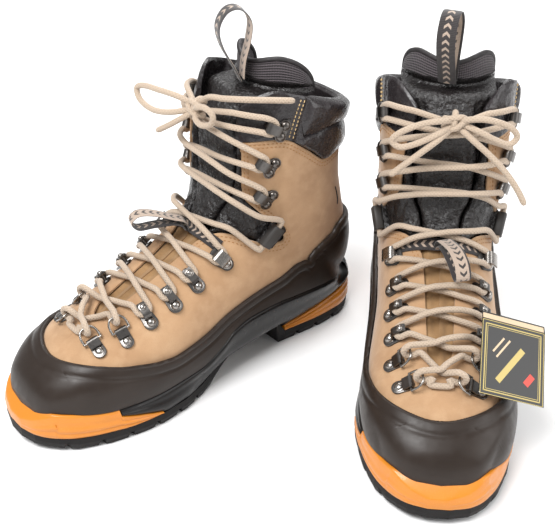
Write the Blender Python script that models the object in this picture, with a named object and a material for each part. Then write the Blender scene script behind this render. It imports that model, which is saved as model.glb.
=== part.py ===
"""Pair of mountaineering boots, modelled as separate real pieces and standing on z = 0.

Each boot is built in its own frame, in millimetres: x points to the inner (medial) side,
y from toe to heel and z up. The left boot is the mirror image of the right one.
The foot shape is a "last": a fan of sections that starts upright at the toe, leans back
over the instep and ends as the ring of the collar.
"""
import math

import bmesh
import bpy
from mathutils import Vector

# ---------------------------------------------------------------- driving dimensions
MM = 0.001
GAP = 0.35                      # clearance between neighbouring pieces, mm
RIGHT_PLACE = (-0.0588, 0.02586, -49.6)   # x, y (m) and turn (degrees) of the right boot
LEFT_PLACE = (0.1192, -0.00164, -5.8)
LEATHER = 2.0                   # thickness of the suede upper
RAND_INNER, RAND_OUTER = 0.6, 3.4    # rubber rand, measured out from the last
LINING_OUTER, LINING_INNER = -4.2, -7.0
TUCK = 1.0                      # how far the upper steps in where the rand covers it
LACE_RADIUS = 2.1
TOE_Y, HEEL_Y = -146.0, 149.5   # ends of the sole

# Last: heel-side point (y, z), front point (y, z), half width, end angle, front and back
# squareness, sideways shift
LAST = (
    (-128, 30, -129.5, 36, 13, 95, 2.0, 2.0, -3),
    (-126, 28, -125.5, 44, 24, 98, 2.1, 2.0, -3),
    (-120, 27, -118, 52.5, 32.5, 100, 2.1, 2.0, -3),
    (-111, 26, -108, 60, 39.5, 102, 2.15, 2.0, -3),
    (-98, 25, -94, 66.5, 44.5, 104, 2.1, 2.0, -2.5),
    (-82, 24, -79, 72.5, 47.5, 105, 2.0, 2.0, -2.5),
    (-62, 23, -63, 79, 49, 105, 2.0, 2.0, -2.5),
    (-40, 22, -47, 85.5, 48, 105, 2.1, 2.0, -2.5),
    (-14, 23, -31, 92, 46, 104, 2.25, 2.0, -2),
    (16, 25, -15, 99.5, 43.5, 104, 2.45, 2.0, -1.5),
    (50, 27, -1, 108, 42.5, 106, 2.7, 2.0, -1),
    (88, 29, 10, 118, 42, 112, 2.9, 2.0, 0),
    (119, 31, 17, 129, 42, 126, 3.1, 2.0, 0),
    (139, 36, 21.5, 141, 42.7, 180, 3.3, 2.05, 0),
    (144, 56, 24, 155, 44, 180, 3.4, 2.1, 0),
    (141, 80, 25.5, 169, 45, 180, 3.4, 2.15, 0),
    (135, 104, 26.5, 182, 45.3, 180, 3.2, 2.2, 0),
    (131, 130, 28, 193, 45.5, 180, 2.9, 2.2, 0),
    (131, 158, 32, 206, 46.5, 180, 2.6, 2.2, 0),
    (134, 184, 39, 220, 47.5, 180, 2.45, 2.2, 0),
)
# Edges drawn on the last as (s, t): s runs from toe to collar, t from the ridge (0) to the sole
RAND_TOP = ((0.132, 0), (0.138, 0.08), (0.150, 0.2), (0.166, 0.3), (0.196, 0.415), (0.246, 0.54),
            (0.291, 0.62), (0.332, 0.69), (0.377, 0.74), (0.43, 0.75), (0.482, 0.735), (0.568, 0.74),
            (0.598, 0.73), (0.628, 0.705), (0.658, 0.61), (0.684, 0.545), (0.7, 0.555),
            (0.729, 0.598), (0.754, 0.63), (0.774, 0.68), (0.79, 0.76), (0.803, 0.87), (0.81, 1.0))
TAN_FRONT = ((0.262, 0), (0.275, 0.05), (0.3, 0.095), (0.52, 0.105), (0.55, 0.14), (0.578, 0.22),
             (0.593, 0.31), (0.606, 0.43), (0.618, 0.515), (0.633, 0.555), (0.645, 0.55),
             (0.66, 0.51), (0.676, 0.43), (0.688, 0.3), (0.7, 0.2), (0.735, 0.17), (0.845, 0.15))
TAN_TOP = ((0.15, 0.845), (0.2, 0.858), (0.3, 0.886), (0.375, 0.903), (0.42, 0.908), (0.48, 0.903),
           (0.52, 0.897), (0.56, 0.893), (0.6, 0.9), (0.65, 0.912), (0.75, 0.922), (1.0, 0.928))
TOE_TIP = Vector((-3, -129.8, 32.2))
# Height of the line where rand and sole meet, along y
WELT = ((-131, 31), (-117, 29), (-92, 26), (-60, 25), (-25, 27), (-4, 36), (8, 44), (25, 48.5),
        (50, 49.5), (70, 48), (100, 45), (128, 39), (150, 36.5))
# Plan of the sole: y, lateral x, medial x
SOLE_PLAN = ((-146, -10, 5), (-142.5, -23, 17), (-135, -32.5, 27.5), (-121, -41.5, 38),
             (-101, -49, 46), (-80, -53.5, 51), (-60, -55, 52.5), (-40, -53.5, 50.5),
             (-20, -49, 44.5), (-4, -45, 38), (15, -41.5, 34), (40, -39.5, 32.5),
             (60, -38.5, 33.5), (80, -39.5, 35.5), (100, -39.5, 37), (120, -37.5, 36),
             (134, -32, 31), (144, -21, 21), (149.5, -8, 8))
# Underside and top of the outsole, along y
TREAD = ((-146, 5.5), (-135, 3.6), (-121, 1.7), (-101, 0.3), (-90, 0), (-20, 0), (-12, 1.2),
         (-4, 5), (8, 12), (25, 17), (40, 18), (52, 17), (57.5, 15), (60, 0), (150, 0))
OUTSOLE_TOP = ((-146, 13), (-121, 10.8), (-76, 9.2), (-22, 9.2), (-8, 11.5), (12, 17.5),
               (25, 21), (40, 22), (52, 21.5), (60.2, 19), (66, 9.2), (150, 9.2))
LEATHER_TAN = (0.62, 0.43, 0.26)
RUBBER_BROWN = (0.052, 0.042, 0.036)
RUBBER_BLACK = (0.016, 0.015, 0.015)
ORANGE = (0.86, 0.30, 0.035)
BLACK_LEATHER = (0.035, 0.031, 0.032)
GREY_MESH = (0.10, 0.085, 0.095)
GUNMETAL = (0.23, 0.225, 0.22)
BEIGE_CORD = (0.70, 0.54, 0.38)


# ---------------------------------------------------------------- scene and materials
def clear_scene():
    for obj in list(bpy.data.objects):
        bpy.data.objects.remove(obj, do_unlink=True)


def material(name, colour, roughness, metallic=0.0):
    mat = bpy.data.materials.get(name) or bpy.data.materials.new(name)
    mat.use_nodes = True
    shader = mat.node_tree.nodes["Principled BSDF"]
    shader.inputs["Base Color"].default_value = (*colour, 1)
    shader.inputs["Roughness"].default_value = roughness
    shader.inputs["Metallic"].default_value = metallic
    return mat


# ---------------------------------------------------------------- the last
def table(points, x):
    """Straight-line reading of a table of (x, y) pairs."""
    if x <= points[0][0]:
        return points[0][1]
    for (x0, y0), (x1, y1) in zip(points, points[1:]):
        if x <= x1:
            return y0 + (y1 - y0) * (x - x0) / (x1 - x0)
    return points[-1][1]


def section(s):
    """One section of the last, read smoothly between the rows of LAST."""
    last = len(LAST) - 1
    place = min(max(s, 0.0), 1.0) * last
    i = min(int(place), last - 1)
    f = place - i
    a, b, c, d = (LAST[max(i - 1, 0)], LAST[i], LAST[i + 1], LAST[min(i + 2, last)])
    return [0.5 * (2 * q + (r - p) * f + (2 * p - 5 * q + 4 * r - u) * f * f
                   + (3 * q - p - 3 * r + u) * f ** 3) for p, q, r, u in zip(a, b, c, d)]


def skin(s, t):
    """Point of the last's surface: t = 0 on the ridge, 1 medial and -1 lateral."""
    back_y, back_z, front_y, front_z, half, end, n_front, n_back, shift = section(s)
    end = math.radians(min(end, 180.0))
    angle = abs(t) * end
    power = 2.0 / (n_front if angle < math.pi / 2 else n_back)
    wide = half * abs(math.sin(angle)) ** power
    deep = math.copysign(abs(math.cos(angle)) ** power, math.cos(angle))
    deepest = -abs(math.cos(end)) ** (2.0 / n_back)
    v = (1 - deep) / (1 - deepest)
    x = shift * min(1.0, 1.2 * v + 0.2) + math.copysign(wide, t)
    return Vector((x, front_y + (back_y - front_y) * v, front_z + (back_z - front_z) * v))


def normal(s, t):
    step = 0.012
    s0, s1 = max(s - step, 0.0), min(s + step, 1.0)
    t0, t1 = t - step, t + step
    closed = section(s)[5] >= 179.9
    if t0 < -1:
        t0 = t0 + 2 if closed else -1
    if t1 > 1:
        t1 = t1 - 2 if closed else 1
    out = (skin(s1, t) - skin(s0, t)).cross(skin(s, t1) - skin(s, t0)).normalized()
    back_y, back_z, front_y, front_z = section(s)[:4]
    middle = Vector((0, (back_y + front_y) / 2, (back_z + front_z) / 2))
    return out if out.dot(skin(s, t) - middle) > 0 else -out


def over(s, t, height=0.0):
    """Point at a height above the last's surface."""
    return skin(s, t) + normal(s, t) * height


def t_at_height(s, z, side):
    """Value of t where section s passes height z on the way down (1 if it never does)."""
    low, high = 0.0, 1.0
    if skin(s, side).z > z:
        return side
    for _ in range(30):
        mid = (low + high) / 2
        low, high = (mid, high) if skin(s, side * mid).z > z else (low, mid)
    return side * high


def t_at_welt(s, side, height, lift):
    """Value of t where the surface at this height above the last comes down to the welt."""
    low, high = 0.0, 1.0
    for _ in range(30):
        mid = (low + high) / 2
        p = over(s, side * mid, height)
        low, high = (mid, high) if p.z > table(WELT, p.y) + lift else (low, mid)
    return high


def plan_width(z, y, side):
    """Half width of the last at height z and place y; 0 beyond its ends."""
    outline = []
    for i in range(81):
        s = i / 80 * 0.86
        front_z = section(s)[3]
        if front_z < z:
            continue
        point = skin(s, t_at_height(s, z, side))
        outline.append((point.y, abs(point.x)))
        if s > 0.64 and point.x * side < 0.5:
            break
    outline.sort()
    if not outline[0][0] <= y <= outline[-1][0]:
        return 0.0
    return table(outline, y)


# ---------------------------------------------------------------- mesh helpers
class Boot:
    """Name, side and empty of one boot, and what turns its millimetres into objects."""

    def __init__(self, name, side, place, collection):
        self.name, self.side, self.collection = name, side, collection
        self.root = bpy.data.objects.new(name + "_frame", None)
        self.root.location = (place[0], place[1], 0)
        self.root.rotation_euler = (0, 0, math.radians(place[2]))
        collection.objects.link(self.root)

    def metres(self, p):
        return Vector((self.side * p[0], p[1], p[2])) * MM

    def link(self, obj, pivot):
        self.collection.objects.link(obj)
        obj.parent = self.root
        obj.location = self.metres(pivot)
        return obj

    def mesh(self, part, verts, faces, mat, pivot=(0, 0, 0), smooth=40):
        origin = self.metres(pivot)
        data = bpy.data.meshes.new(f"{self.name}_{part}")
        data.from_pydata([self.metres(v) - origin for v in verts], [], faces)
        bm = bmesh.new()
        bm.from_mesh(data)
        bmesh.ops.remove_doubles(bm, verts=bm.verts, dist=2e-6)
        bmesh.ops.recalc_face_normals(bm, faces=bm.faces)
        bm.to_mesh(data)
        bm.free()
        data.shade_smooth()
        data.set_sharp_from_angle(angle=math.radians(smooth))
        data.materials.append(mat)
        return self.link(bpy.data.objects.new(data.name, data), pivot)

    def tube(self, part, points, radius, mat, cyclic=False, pivot=(0, 0, 0), resolution=2):
        origin = self.metres(pivot)
        data = bpy.data.curves.new(f"{self.name}_{part}", "CURVE")
        data.dimensions = "3D"
        data.bevel_depth = radius * MM
        data.bevel_resolution = resolution
        data.use_fill_caps = True
        line = data.splines.new("POLY")
        line.points.add(len(points) - 1)
        for knot, p in zip(line.points, points):
            knot.co = (*(self.metres(p) - origin), 1)
        line.use_cyclic_u = cyclic
        data.materials.append(mat)
        return self.link(bpy.data.objects.new(data.name, data), pivot)

    def union(self, part, pieces, mat, pivot=(0, 0, 0)):
        """One closed body out of several closed pieces that overlap."""
        helpers = bpy.data.collections.new("union_helpers")
        objects = [self.mesh(f"{part}_piece{i}", v, f, mat) for i, (v, f) in enumerate(pieces)]
        for obj in objects[1:]:
            helpers.objects.link(obj)
        join = objects[0].modifiers.new("join", "BOOLEAN")
        join.operation = "UNION"
        join.operand_type = "COLLECTION"
        join.collection = helpers
        bpy.context.view_layer.update()
        graph = bpy.context.evaluated_depsgraph_get()
        joined = bpy.data.meshes.new_from_object(objects[0].evaluated_get(graph))
        for obj in objects:
            bpy.data.objects.remove(obj, do_unlink=True)
        bpy.data.collections.remove(helpers)
        bm = bmesh.new()
        bm.from_mesh(joined)
        bmesh.ops.remove_doubles(bm, verts=bm.verts, dist=5e-6)
        bmesh.ops.dissolve_degenerate(bm, edges=bm.edges, dist=5e-6)
        bmesh.ops.translate(bm, verts=bm.verts, vec=-self.metres(pivot))
        bm.to_mesh(joined)
        bm.free()
        joined.name = f"{self.name}_{part}"
        joined.shade_smooth()
        joined.set_sharp_from_angle(angle=math.radians(35))
        joined.materials.clear()
        joined.materials.append(mat)
        return self.link(bpy.data.objects.new(joined.name, joined), pivot)


def loft(rings):
    """Closed solid through rings of equal length, with both ends capped."""
    n = len(rings[0])
    verts = [p for ring in rings for p in ring]
    faces = [(a * n + i, a * n + (i + 1) % n, (a + 1) * n + (i + 1) % n, (a + 1) * n + i)
             for a in range(len(rings) - 1) for i in range(n)]
    faces.append(tuple(range(n))[::-1])
    faces.append(tuple(range((len(rings) - 1) * n, len(rings) * n)))
    return verts, faces


def thick(patches):
    """Closed shell from patches of (outer grid, inner grid); touching borders are joined."""
    index, outer, inner, faces = {}, [], [], []
    for grid_out, grid_in in patches:
        ids = []
        for row_out, row_in in zip(grid_out, grid_in):
            line = []
            for p, q in zip(row_out, row_in):
                key = tuple(round(c * 20) for c in p)
                if key not in index:
                    index[key] = len(outer)
                    outer.append(p)
                    inner.append(q)
                line.append(index[key])
            ids.append(line)
        for upper, lower in zip(ids, ids[1:]):
            for i in range(len(upper) - 1):
                quad = (upper[i], upper[i + 1], lower[i + 1], lower[i])
                face = tuple(dict.fromkeys(quad))
                if len(face) > 2:
                    faces.append(face)
    edges = {}
    for face in faces:
        for a, b in zip(face, face[1:] + face[:1]):
            key = (min(a, b), max(a, b))
            edges[key] = None if key in edges else (a, b)
    n = len(outer)
    walls = [(b, a, a + n, b + n) for edge in edges.values() if edge for a, b in [edge]]
    back = [tuple(v + n for v in reversed(face)) for face in faces]
    return outer + inner, faces + walls + back


def panel(rows, columns, t_range, s_of, out, inn, sides=(1, -1)):
    """Patches over the last: t_range(s) gives the two ends, s_of(a, t) the station."""
    patches = []
    for side in sides:
        grid_out, grid_in = [], []
        for a in rows:
            t0, t1 = t_range(a)
            ts = [t0 + (t1 - t0) * j / columns for j in range(columns + 1)]
            grid_out.append([over(s_of(a, t), side * t, out(a, t)) for t in ts])
            grid_in.append([over(s_of(a, t), side * t, inn(a, t)) for t in ts])
        patches.append((grid_out, grid_in))
    return thick(patches)


def flat(value):
    return lambda *_: value


# ---------------------------------------------------------------- sole pieces
SOLE_STATIONS = (-146, -142.5, -138, -131.5, -121, -110, -101, -92, -76, -61, -40, -22, -12, -8, 2,
                 12, 25, 40, 52, 57.5, 60.2, 66, 80, 100, 120, 132, 140, 144, 149.5)


def sole_edge(y, side):
    outline = [(row[0], row[1 if side < 0 else 2]) for row in SOLE_PLAN]
    return table(outline, y)


def make_outsole(boot, mat):
    """Outsole with a raised arch, a heel block and lugs cut along both edges."""
    rings = []
    for y in SOLE_STATIONS:
        low, high = table(TREAD, y), table(OUTSOLE_TOP, y)
        left, right = sole_edge(y, -1), sole_edge(y, 1)
        inset = min(1.5, abs(right) * 0.2)
        rings.append([(left + inset, y, low), (left, y, low + 0.5 * (high - low)),
                      (left + 0.8, y, high), (right - 0.8, y, high),
                      (right, y, low + 0.5 * (high - low)), (right - inset, y, low)])
    body = loft(rings)
    outsole = boot.mesh("outsole", *body, mat)
    grooves = [groove(boot, y, side) for y in (-128, -108, -88, -68, -49, -31, 76, 94, 112, 130)
               for side in (-1, 1)]
    cut(boot, outsole, grooves, "outsole_grooves")
    return outsole


def groove(boot, y, side):
    """Wedge that runs in from the sole's edge between two lugs."""
    edge = sole_edge(y, side)
    low = table(TREAD, y) - 2
    depth = 6.2
    half = 2.6 if abs(y) < 120 else 1.6
    inner = edge * (0.62 if abs(y) < 120 else 0.8)
    outer = edge + side * 9
    slant = 3.0
    floor = low + 2 + depth - 1.2
    base = [(inner, y - half, low), (outer, y - half + slant, low),
            (outer, y + half + slant, low), (inner, y + half, low)]
    top = [(inner, y - half * 0.6, floor), (outer, y - half * 0.6 + slant, floor),
           (outer, y + half * 0.6 + slant, floor), (inner, y + half * 0.6, floor)]
    return loft([base, top])


def cut(boot, obj, solids, name):
    """Cuts several solids out of an object with one Boolean and keeps the plain result."""
    cutters = bpy.data.collections.new(name)
    made = [boot.mesh(f"{name}{i}", v, f, obj.data.materials[0]) for i, (v, f) in enumerate(solids)]
    for cutter in made:
        cutters.objects.link(cutter)
    tool = obj.modifiers.new("cut", "BOOLEAN")
    tool.operation = "DIFFERENCE"
    tool.operand_type = "COLLECTION"
    tool.collection = cutters
    bpy.context.view_layer.update()
    graph = bpy.context.evaluated_depsgraph_get()
    result = bpy.data.meshes.new_from_object(obj.evaluated_get(graph))
    obj.modifiers.clear()
    name_kept = obj.data.name
    bpy.data.meshes.remove(obj.data) if obj.data.users == 0 else None
    obj.data = result
    result.name = name_kept
    for cutter in made:
        bpy.data.objects.remove(cutter, do_unlink=True)
    bpy.data.collections.remove(cutters)


def cup_ring(y, low, outer_in=1.2):
    """Section of a sole layer: outer wall up to the welt and a pocket for the upper."""
    top = table(WELT, y) - 0.1
    floor = base_height(y) - 0.45
    ring = []
    for side in (-1, 1):
        edge = abs(sole_edge(y, side))
        wall_top = plan_width(top, y, side)
        wall_mid = plan_width((top + floor) / 2, y, side)
        wall_low = plan_width(floor + 0.6, y, side)
        inside = wall_top > 3
        rim = max(wall_top + 4.0, edge * 0.55) if inside else edge * 0.55
        lip = (side * (wall_top + 0.45), top) if inside else (side * edge * 0.3, top)
        mid = (side * (wall_mid + 0.6), (top + floor) / 2) if inside else (side * edge * 0.2, top)
        low_in = (side * (wall_low + 0.5), floor) if inside else (side * edge * 0.1, top)
        bulge = max(edge - 0.3, wall_low + 2.4)
        shoulder = max(min(low + 0.35 * (top - low), floor - 0.6), low + 0.8)
        points = [(side * (edge - outer_in), low), (side * bulge, shoulder),
                  (side * rim, top), lip, mid, low_in]
        ring.append([(x, y, z) for x, z in points])
    return ring[0] + ring[1][::-1]


def base_height(y):
    """Height of the feather line, the bottom edge of the upper."""
    return table(((-128, 30), (-120, 27), (-98, 25), (-40, 22), (16, 25), (50, 27), (88, 29),
                  (119, 30.6), (150, 32.6)), y)


def toe_wedge_top(y):
    return 21.0 - 11.0 * (y + 92) / 32


def make_toe_insert(boot, mat):
    """Orange toe piece: a ledge ahead of the rand, a cup under it and a wedge behind."""
    rings = []
    for y in (-145.9, -142.5, -138, -133):
        low = table(OUTSOLE_TOP, y) + GAP
        top = 31.0 - 9.5 * ((-131.5 - y) / 14.0) ** 1.4
        points = []
        for side in (-1, 1):
            edge = abs(sole_edge(y, side))
            line = [(edge - 1.0, low), (edge + 0.2, low + 0.45 * (top - low)), (edge * 0.72, top),
                    (edge * 0.4, top + 0.3), (edge * 0.25, top + 0.35), (edge * 0.1, top + 0.4)]
            points.append([(side * x, y, z) for x, z in line])
        rings.append(points[0] + points[1][::-1])
    for y in (-131.5, -127.6, -124, -121, -110, -101, -92.2):
        rings.append(cup_ring(y, table(OUTSOLE_TOP, y) + GAP))
    for y in (-92, -76, -61):
        low, top = table(OUTSOLE_TOP, y) + GAP, toe_wedge_top(y)
        points = []
        for side in (-1, 1):
            edge = abs(sole_edge(y, side))
            line = [(edge - 1.2, low), (edge - 0.2, low + 0.4 * (top - low)), (edge - 0.4, top),
                    (edge * 0.8, top + 0.01), (edge * 0.5, top + 0.02), (edge * 0.2, top + 0.03)]
            points.append([(side * x, y, z) for x, z in line])
        rings.append(points[0] + points[1][::-1])
    return boot.mesh("toe_insert", *loft(rings), mat)


def heel_wedge_top(y):
    return table(((66, 14.5), (80, 16.5), (100, 21), (120, 25), (136, 27), (150, 27.5)), y)


def make_heel_insert(boot, mat):
    rings = []
    for y in (66, 80, 100, 120, 132, 140, 144, 149.2):
        low, top = table(OUTSOLE_TOP, y) + GAP, heel_wedge_top(y)
        left, right = sole_edge(y, -1), sole_edge(y, 1)
        rings.append([(left + 0.6, y, low), (left + 0.2, y, (low + top) / 2), (left + 1.4, y, top),
                      (right - 1.4, y, top), (right - 0.2, y, (low + top) / 2), (right - 0.6, y, low)])
    return boot.mesh("heel_insert", *loft(rings), mat)


def make_midsole(boot, mat):
    """Black shank and midsole: low at the ball, a tall flange at the waist, a cup at the heel."""
    rings = []
    for y in (-91.7, -76, -61, -40, -22, -12, -8, 2, 12, 25, 40, 52, 60.2, 66, 80, 96, 109, 118, 125.5,
              132, 138.5):
        low = table(OUTSOLE_TOP, y) + GAP
        if y < -60:
            low = toe_wedge_top(y) + GAP
        if y > 65:
            low = heel_wedge_top(y) + GAP
        rings.append(cup_ring(y, low, outer_in=1.5))
    top = table(WELT, 146) - 1.3
    for y in (139.2, 144, 147.6):
        points = []
        for side in (-1, 1):
            edge = abs(sole_edge(y, side))
            line = [(edge - 1.2, heel_wedge_top(y) + GAP), (edge - 0.4, 30.0), (edge * 0.8, top),
                    (edge * 0.5, top), (edge * 0.3, top), (edge * 0.1, top)]
            points.append([(side * x, y, z) for x, z in line])
        rings.append(points[0] + points[1][::-1])
    return boot.mesh("midsole", *loft(rings), mat)


# ---------------------------------------------------------------- upper pieces
def make_rand(boot, mat):
    """Rubber rand: covers the toe, dips at the waist and rises around the heel."""
    rows = (0.0, 0.03, 0.06, 0.095, 0.132, 0.138, 0.15, 0.166, 0.196, 0.246, 0.291, 0.332, 0.377,
            0.41, 0.44, 0.462, 0.485, 0.51, 0.54, 0.568, 0.6, 0.632, 0.658, 0.684, 0.71, 0.735, 0.754, 0.774, 0.79,
            0.803, 0.81)
    columns = 4
    patches = []
    for side in (1, -1):
        grids = []
        for height in (RAND_OUTER, RAND_INNER):
            grid = [[TOE_TIP - Vector((0, height, 0))] * (columns + 1)]
            for s in rows:
                top = table(RAND_TOP, s)
                low = max(t_at_welt(s, side, height, 0.75), top)
                grid.append([over(s, side * (top + (low - top) * j / columns), height)
                             for j in range(columns + 1)])
            grids.append(grid)
        patches.append(grids)
    return boot.mesh("rand", *thick(patches), mat)


def make_upper(boot, mat):
    """Suede upper: vamp and two quarters with the lace opening, the ankle cut-out and the tab."""
    rows = (0.03, 0.08, 0.132, 0.15, 0.18, 0.22, 0.262, 0.29, 0.34, 0.4, 0.46, 0.52, 0.55, 0.578,
            0.593, 0.606, 0.618, 0.633, 0.647, 0.662, 0.676, 0.688, 0.7, 0.735, 0.77, 0.812,
            0.815, 0.87, 1.0)
    above, below = 3, 3
    patches = []
    for side in (1, -1):
        grids = []
        for depth in (0.0, -LEATHER):
            grid = []
            for a in rows:
                start = table(TAN_FRONT, min(a, 0.845))
                edge = max(min(table(RAND_TOP, a) + 0.012, 1.0), start) if a < 0.77 else 0.56
                tuck = TUCK if a < 0.813 else 0.0
                ts = [start + (edge - start) * j / above for j in range(above + 1)]
                ts += [edge + (1 - edge) * j / below for j in range(1, below + 1)]
                line = []
                for j, t in enumerate(ts):
                    s = a if a < 0.85 else 0.815 + (table(TAN_TOP, t) - 0.815) * (a - 0.815) / 0.185
                    covered = j > above or s < 0.14 or (s < 0.813 and t > 0.77)
                    line.append(over(s, side * t, depth - (tuck if covered else 0.0)))
                grid.append(line)
            grids.append(grid)
        patches.append(grids)
    return boot.mesh("upper", *thick(patches), mat)


def make_lining(boot, mat):
    """Padded leather lining of the ankle, with a lobe on each side of the tongue."""
    rows = [0.56, 0.6, 0.64, 0.68, 0.72, 0.76, 0.8, 0.84, 1.0]

    def station(a, t):
        return a if a < 1 else max(0.85, table(TAN_TOP, t) - 0.012)

    def out(a, t):
        bare = table(TAN_FRONT, min(a, 0.845))
        lobe = 1.4 * max(0.0, min(1.0, (bare - 0.05 - t) / 0.05))
        return LINING_OUTER + lobe - (1.2 if t > 0.5 and a < 0.82 else 0.0)

    def inn(a, t):
        return LINING_INNER - (1.2 if t > 0.5 and a < 0.82 else 0.0)

    body = panel(rows, 7, lambda a: (0.115, 0.94 if a < 0.72 else 1.0), station, out, inn)
    return boot.mesh("lining", *body, mat)


def make_collar(boot, mat):
    """Collar: flat eyestay flaps in front and two padded rolls around the back."""
    rows = [0.0, 0.13, 0.37, 0.5, 0.63, 0.87, 1.0]
    seam = 0.44
    groove_line = ((0.44, 0.915), (0.48, 0.93), (0.56, 0.952), (0.65, 0.962), (1.0, 0.965))

    def station(a, t):
        bottom = table(TAN_TOP, t) + 0.003
        top = table(((0.12, 0.935), (0.17, 0.962), (0.27, 0.995), (0.3, 1.0)), t)
        middle = max(table(groove_line, t), bottom + 0.01)
        if t < seam:
            return bottom + (top - bottom) * a
        return bottom + (middle - bottom) * a * 2 if a < 0.5 else middle + (top - middle) * (a * 2 - 1)

    def out(a, t):
        if t < seam - 0.01:
            return 0.4
        f = (a * 2) % 1 if a < 1 else 0
        return 0.5 + 3.2 * math.sin(math.pi * f) ** 0.6 if 0 < f < 1 else (0.6 if a < 1 else -1.0)

    def inn(a, t):
        thickness = 3.0 if t < seam else 8.0
        return -thickness if 0 < a < 1 else -thickness + (0.8 if t < seam else 2.6)

    grid = []
    ts = [0.125, 0.17, 0.23, 0.3, 0.37, 0.435, 0.45, 0.5, 0.56, 0.65, 0.76, 0.88, 1.0]
    for side in (1, -1):
        outer = [[over(station(a, t), side * t, out(a, t)) for t in ts] for a in rows]
        inner = [[over(station(a, t), side * t, inn(a, t)) for t in ts] for a in rows]
        grid.append((outer, inner))
    return boot.mesh("collar", *thick(grid), mat)


def make_tongue_lower(boot, mat):
    """Suede tongue under the lower lacing."""
    rows = [0.235, 0.27, 0.32, 0.38, 0.44, 0.5, 0.552]
    body = panel(rows, 3, flat((0.0, 0.2)), lambda s, t: s, flat(-3.6), flat(-5.8))
    return boot.mesh("tongue_lower", *body, mat)


TONGUE_HINGE = (0.0, 14.5, 113.0)


def tongue_points(s, t):
    """Front and rear surface of the upper tongue inside the lace opening."""
    bare = max(0.0, min(1.0, (0.108 - t) / 0.02))
    return over(s, t, -6.3 + 5.0 * bare), 0


def make_tongue_flap(boot, mat):
    """Upper tongue: padded leather strip that widens at the top, with a taller mesh lining."""
    widths = ((0.585, 0.1), (0.8, 0.12), (0.87, 0.2), (0.93, 0.27), (0.99, 0.3))
    rows = [0.585, 0.63, 0.68, 0.73, 0.78, 0.83, 0.88, 0.93, 0.972]
    columns = [0.0, 0.3, 0.55, 0.8, 1.0]
    patches = []
    for side in (1, -1):
        outer, inner = [], []
        for s in rows:
            t_end = table(widths, s)
            front, rear = [], []
            for c in columns:
                t = c * t_end
                bulge = 7.2 * max(0.0, min(1.0, (0.1 - t) / 0.03)) if s < 0.95 else 0.0
                front.append(over(s, side * t, -8.8 + bulge))
                rear.append(over(s, side * t, -11.8))
            outer.append(front)
            inner.append(rear)
        for lift, half, thickness in ((0.0, 33.0, 5.0), (8.0, 33.5, 5.0), (14.0, 31.0, 4.0)):
            front, rear = [], []
            for c in columns:
                angle = c * 1.35
                x = side * half * math.sin(angle) / math.sin(1.35)
                y = 56 + 34 * (1 - math.cos(angle)) / (1 - math.cos(1.35))
                ear = math.sin(min(c, 0.85) / 0.85 * math.pi / 2) ** 2
                z = 212 - 6 * c * c + lift * (0.75 + 0.35 * ear) - 9 * max(0, c - 0.8) / 0.2
                front.append(Vector((x, y, z)))
                shift = Vector((x * 0.9, (y - 96), 0)).normalized() * thickness
                rear.append(Vector((x, y, z)) - shift)
            outer.append(front)
            inner.append(rear)
        patches.append((outer, inner))
    return boot.mesh("tongue_flap", *thick(patches), mat, pivot=TONGUE_HINGE)


def make_footbed(boot, mat):
    rings = []
    for y in (-108, -98, -80, -60, -40, -15, 15, 45, 75, 100, 118, 128):
        low = base_height(y) + 0.3
        inset = 5.5 if y < 20 else 11.5
        left, right = (plan_width(low + 5, y, side) - inset for side in (-1, 1))
        left, right = max(left, 4), max(right, 4)
        shrink = 0.6 if y in (-108, 128) else 1.0
        left, right = left * shrink, right * shrink
        rings.append([(-left, y, low), (-left, y, low + 4), (-left * 0.5, y, low + 3),
                      (right * 0.5, y, low + 3), (right, y, low + 4), (right, y, low)])
    return boot.mesh("footbed", *loft(rings), mat)


# ---------------------------------------------------------------- webbing loops
def ribbon(path, wide, width, thickness):
    """Flat strip along a path; wide is the direction across the strip."""
    rings = []
    for i, p in enumerate(path):
        ahead = (path[min(i + 1, len(path) - 1)] - path[max(i - 1, 0)]).normalized()
        across = wide.normalized() * width / 2
        up = ahead.cross(wide).normalized() * thickness / 2
        rings.append([p - across - up, p + across - up, p + across + up, p - across + up])
    return loft(rings)


def smooth_path(points, count):
    """Catmull-Rom curve through points, read at equal steps."""
    pts = [Vector(p) for p in points]
    result = []
    for k in range(count + 1):
        place = k / count * (len(pts) - 1)
        i = min(int(place), len(pts) - 2)
        f = place - i
        a, b, c, d = pts[max(i - 1, 0)], pts[i], pts[i + 1], pts[min(i + 2, len(pts) - 1)]
        result.append(0.5 * (2 * b + (c - a) * f + (2 * a - 5 * b + 4 * c - d) * f * f
                             + (3 * b - a - 3 * c + d) * f ** 3))
    return result


PULL_HINGE = (3.0, 50.0, 214.0)


def make_pull_loop(boot, mat):
    x = PULL_HINGE[0]
    path = smooth_path([(x, 50.2, 212.5), (x, 46, 222), (x, 38, 238), (x, 36, 251), (x, 42, 261),
                        (x, 51, 262), (x, 58, 253), (x, 57, 240), (x, 53.4, 226), (x, 52.2, 214)], 18)
    return boot.mesh("pull_loop", *ribbon(path, Vector((1, 0, 0)), 15, 1.1), mat, pivot=PULL_HINGE)


KEEPER_ROOT = over(0.548, 0.0, 0.9)


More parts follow.
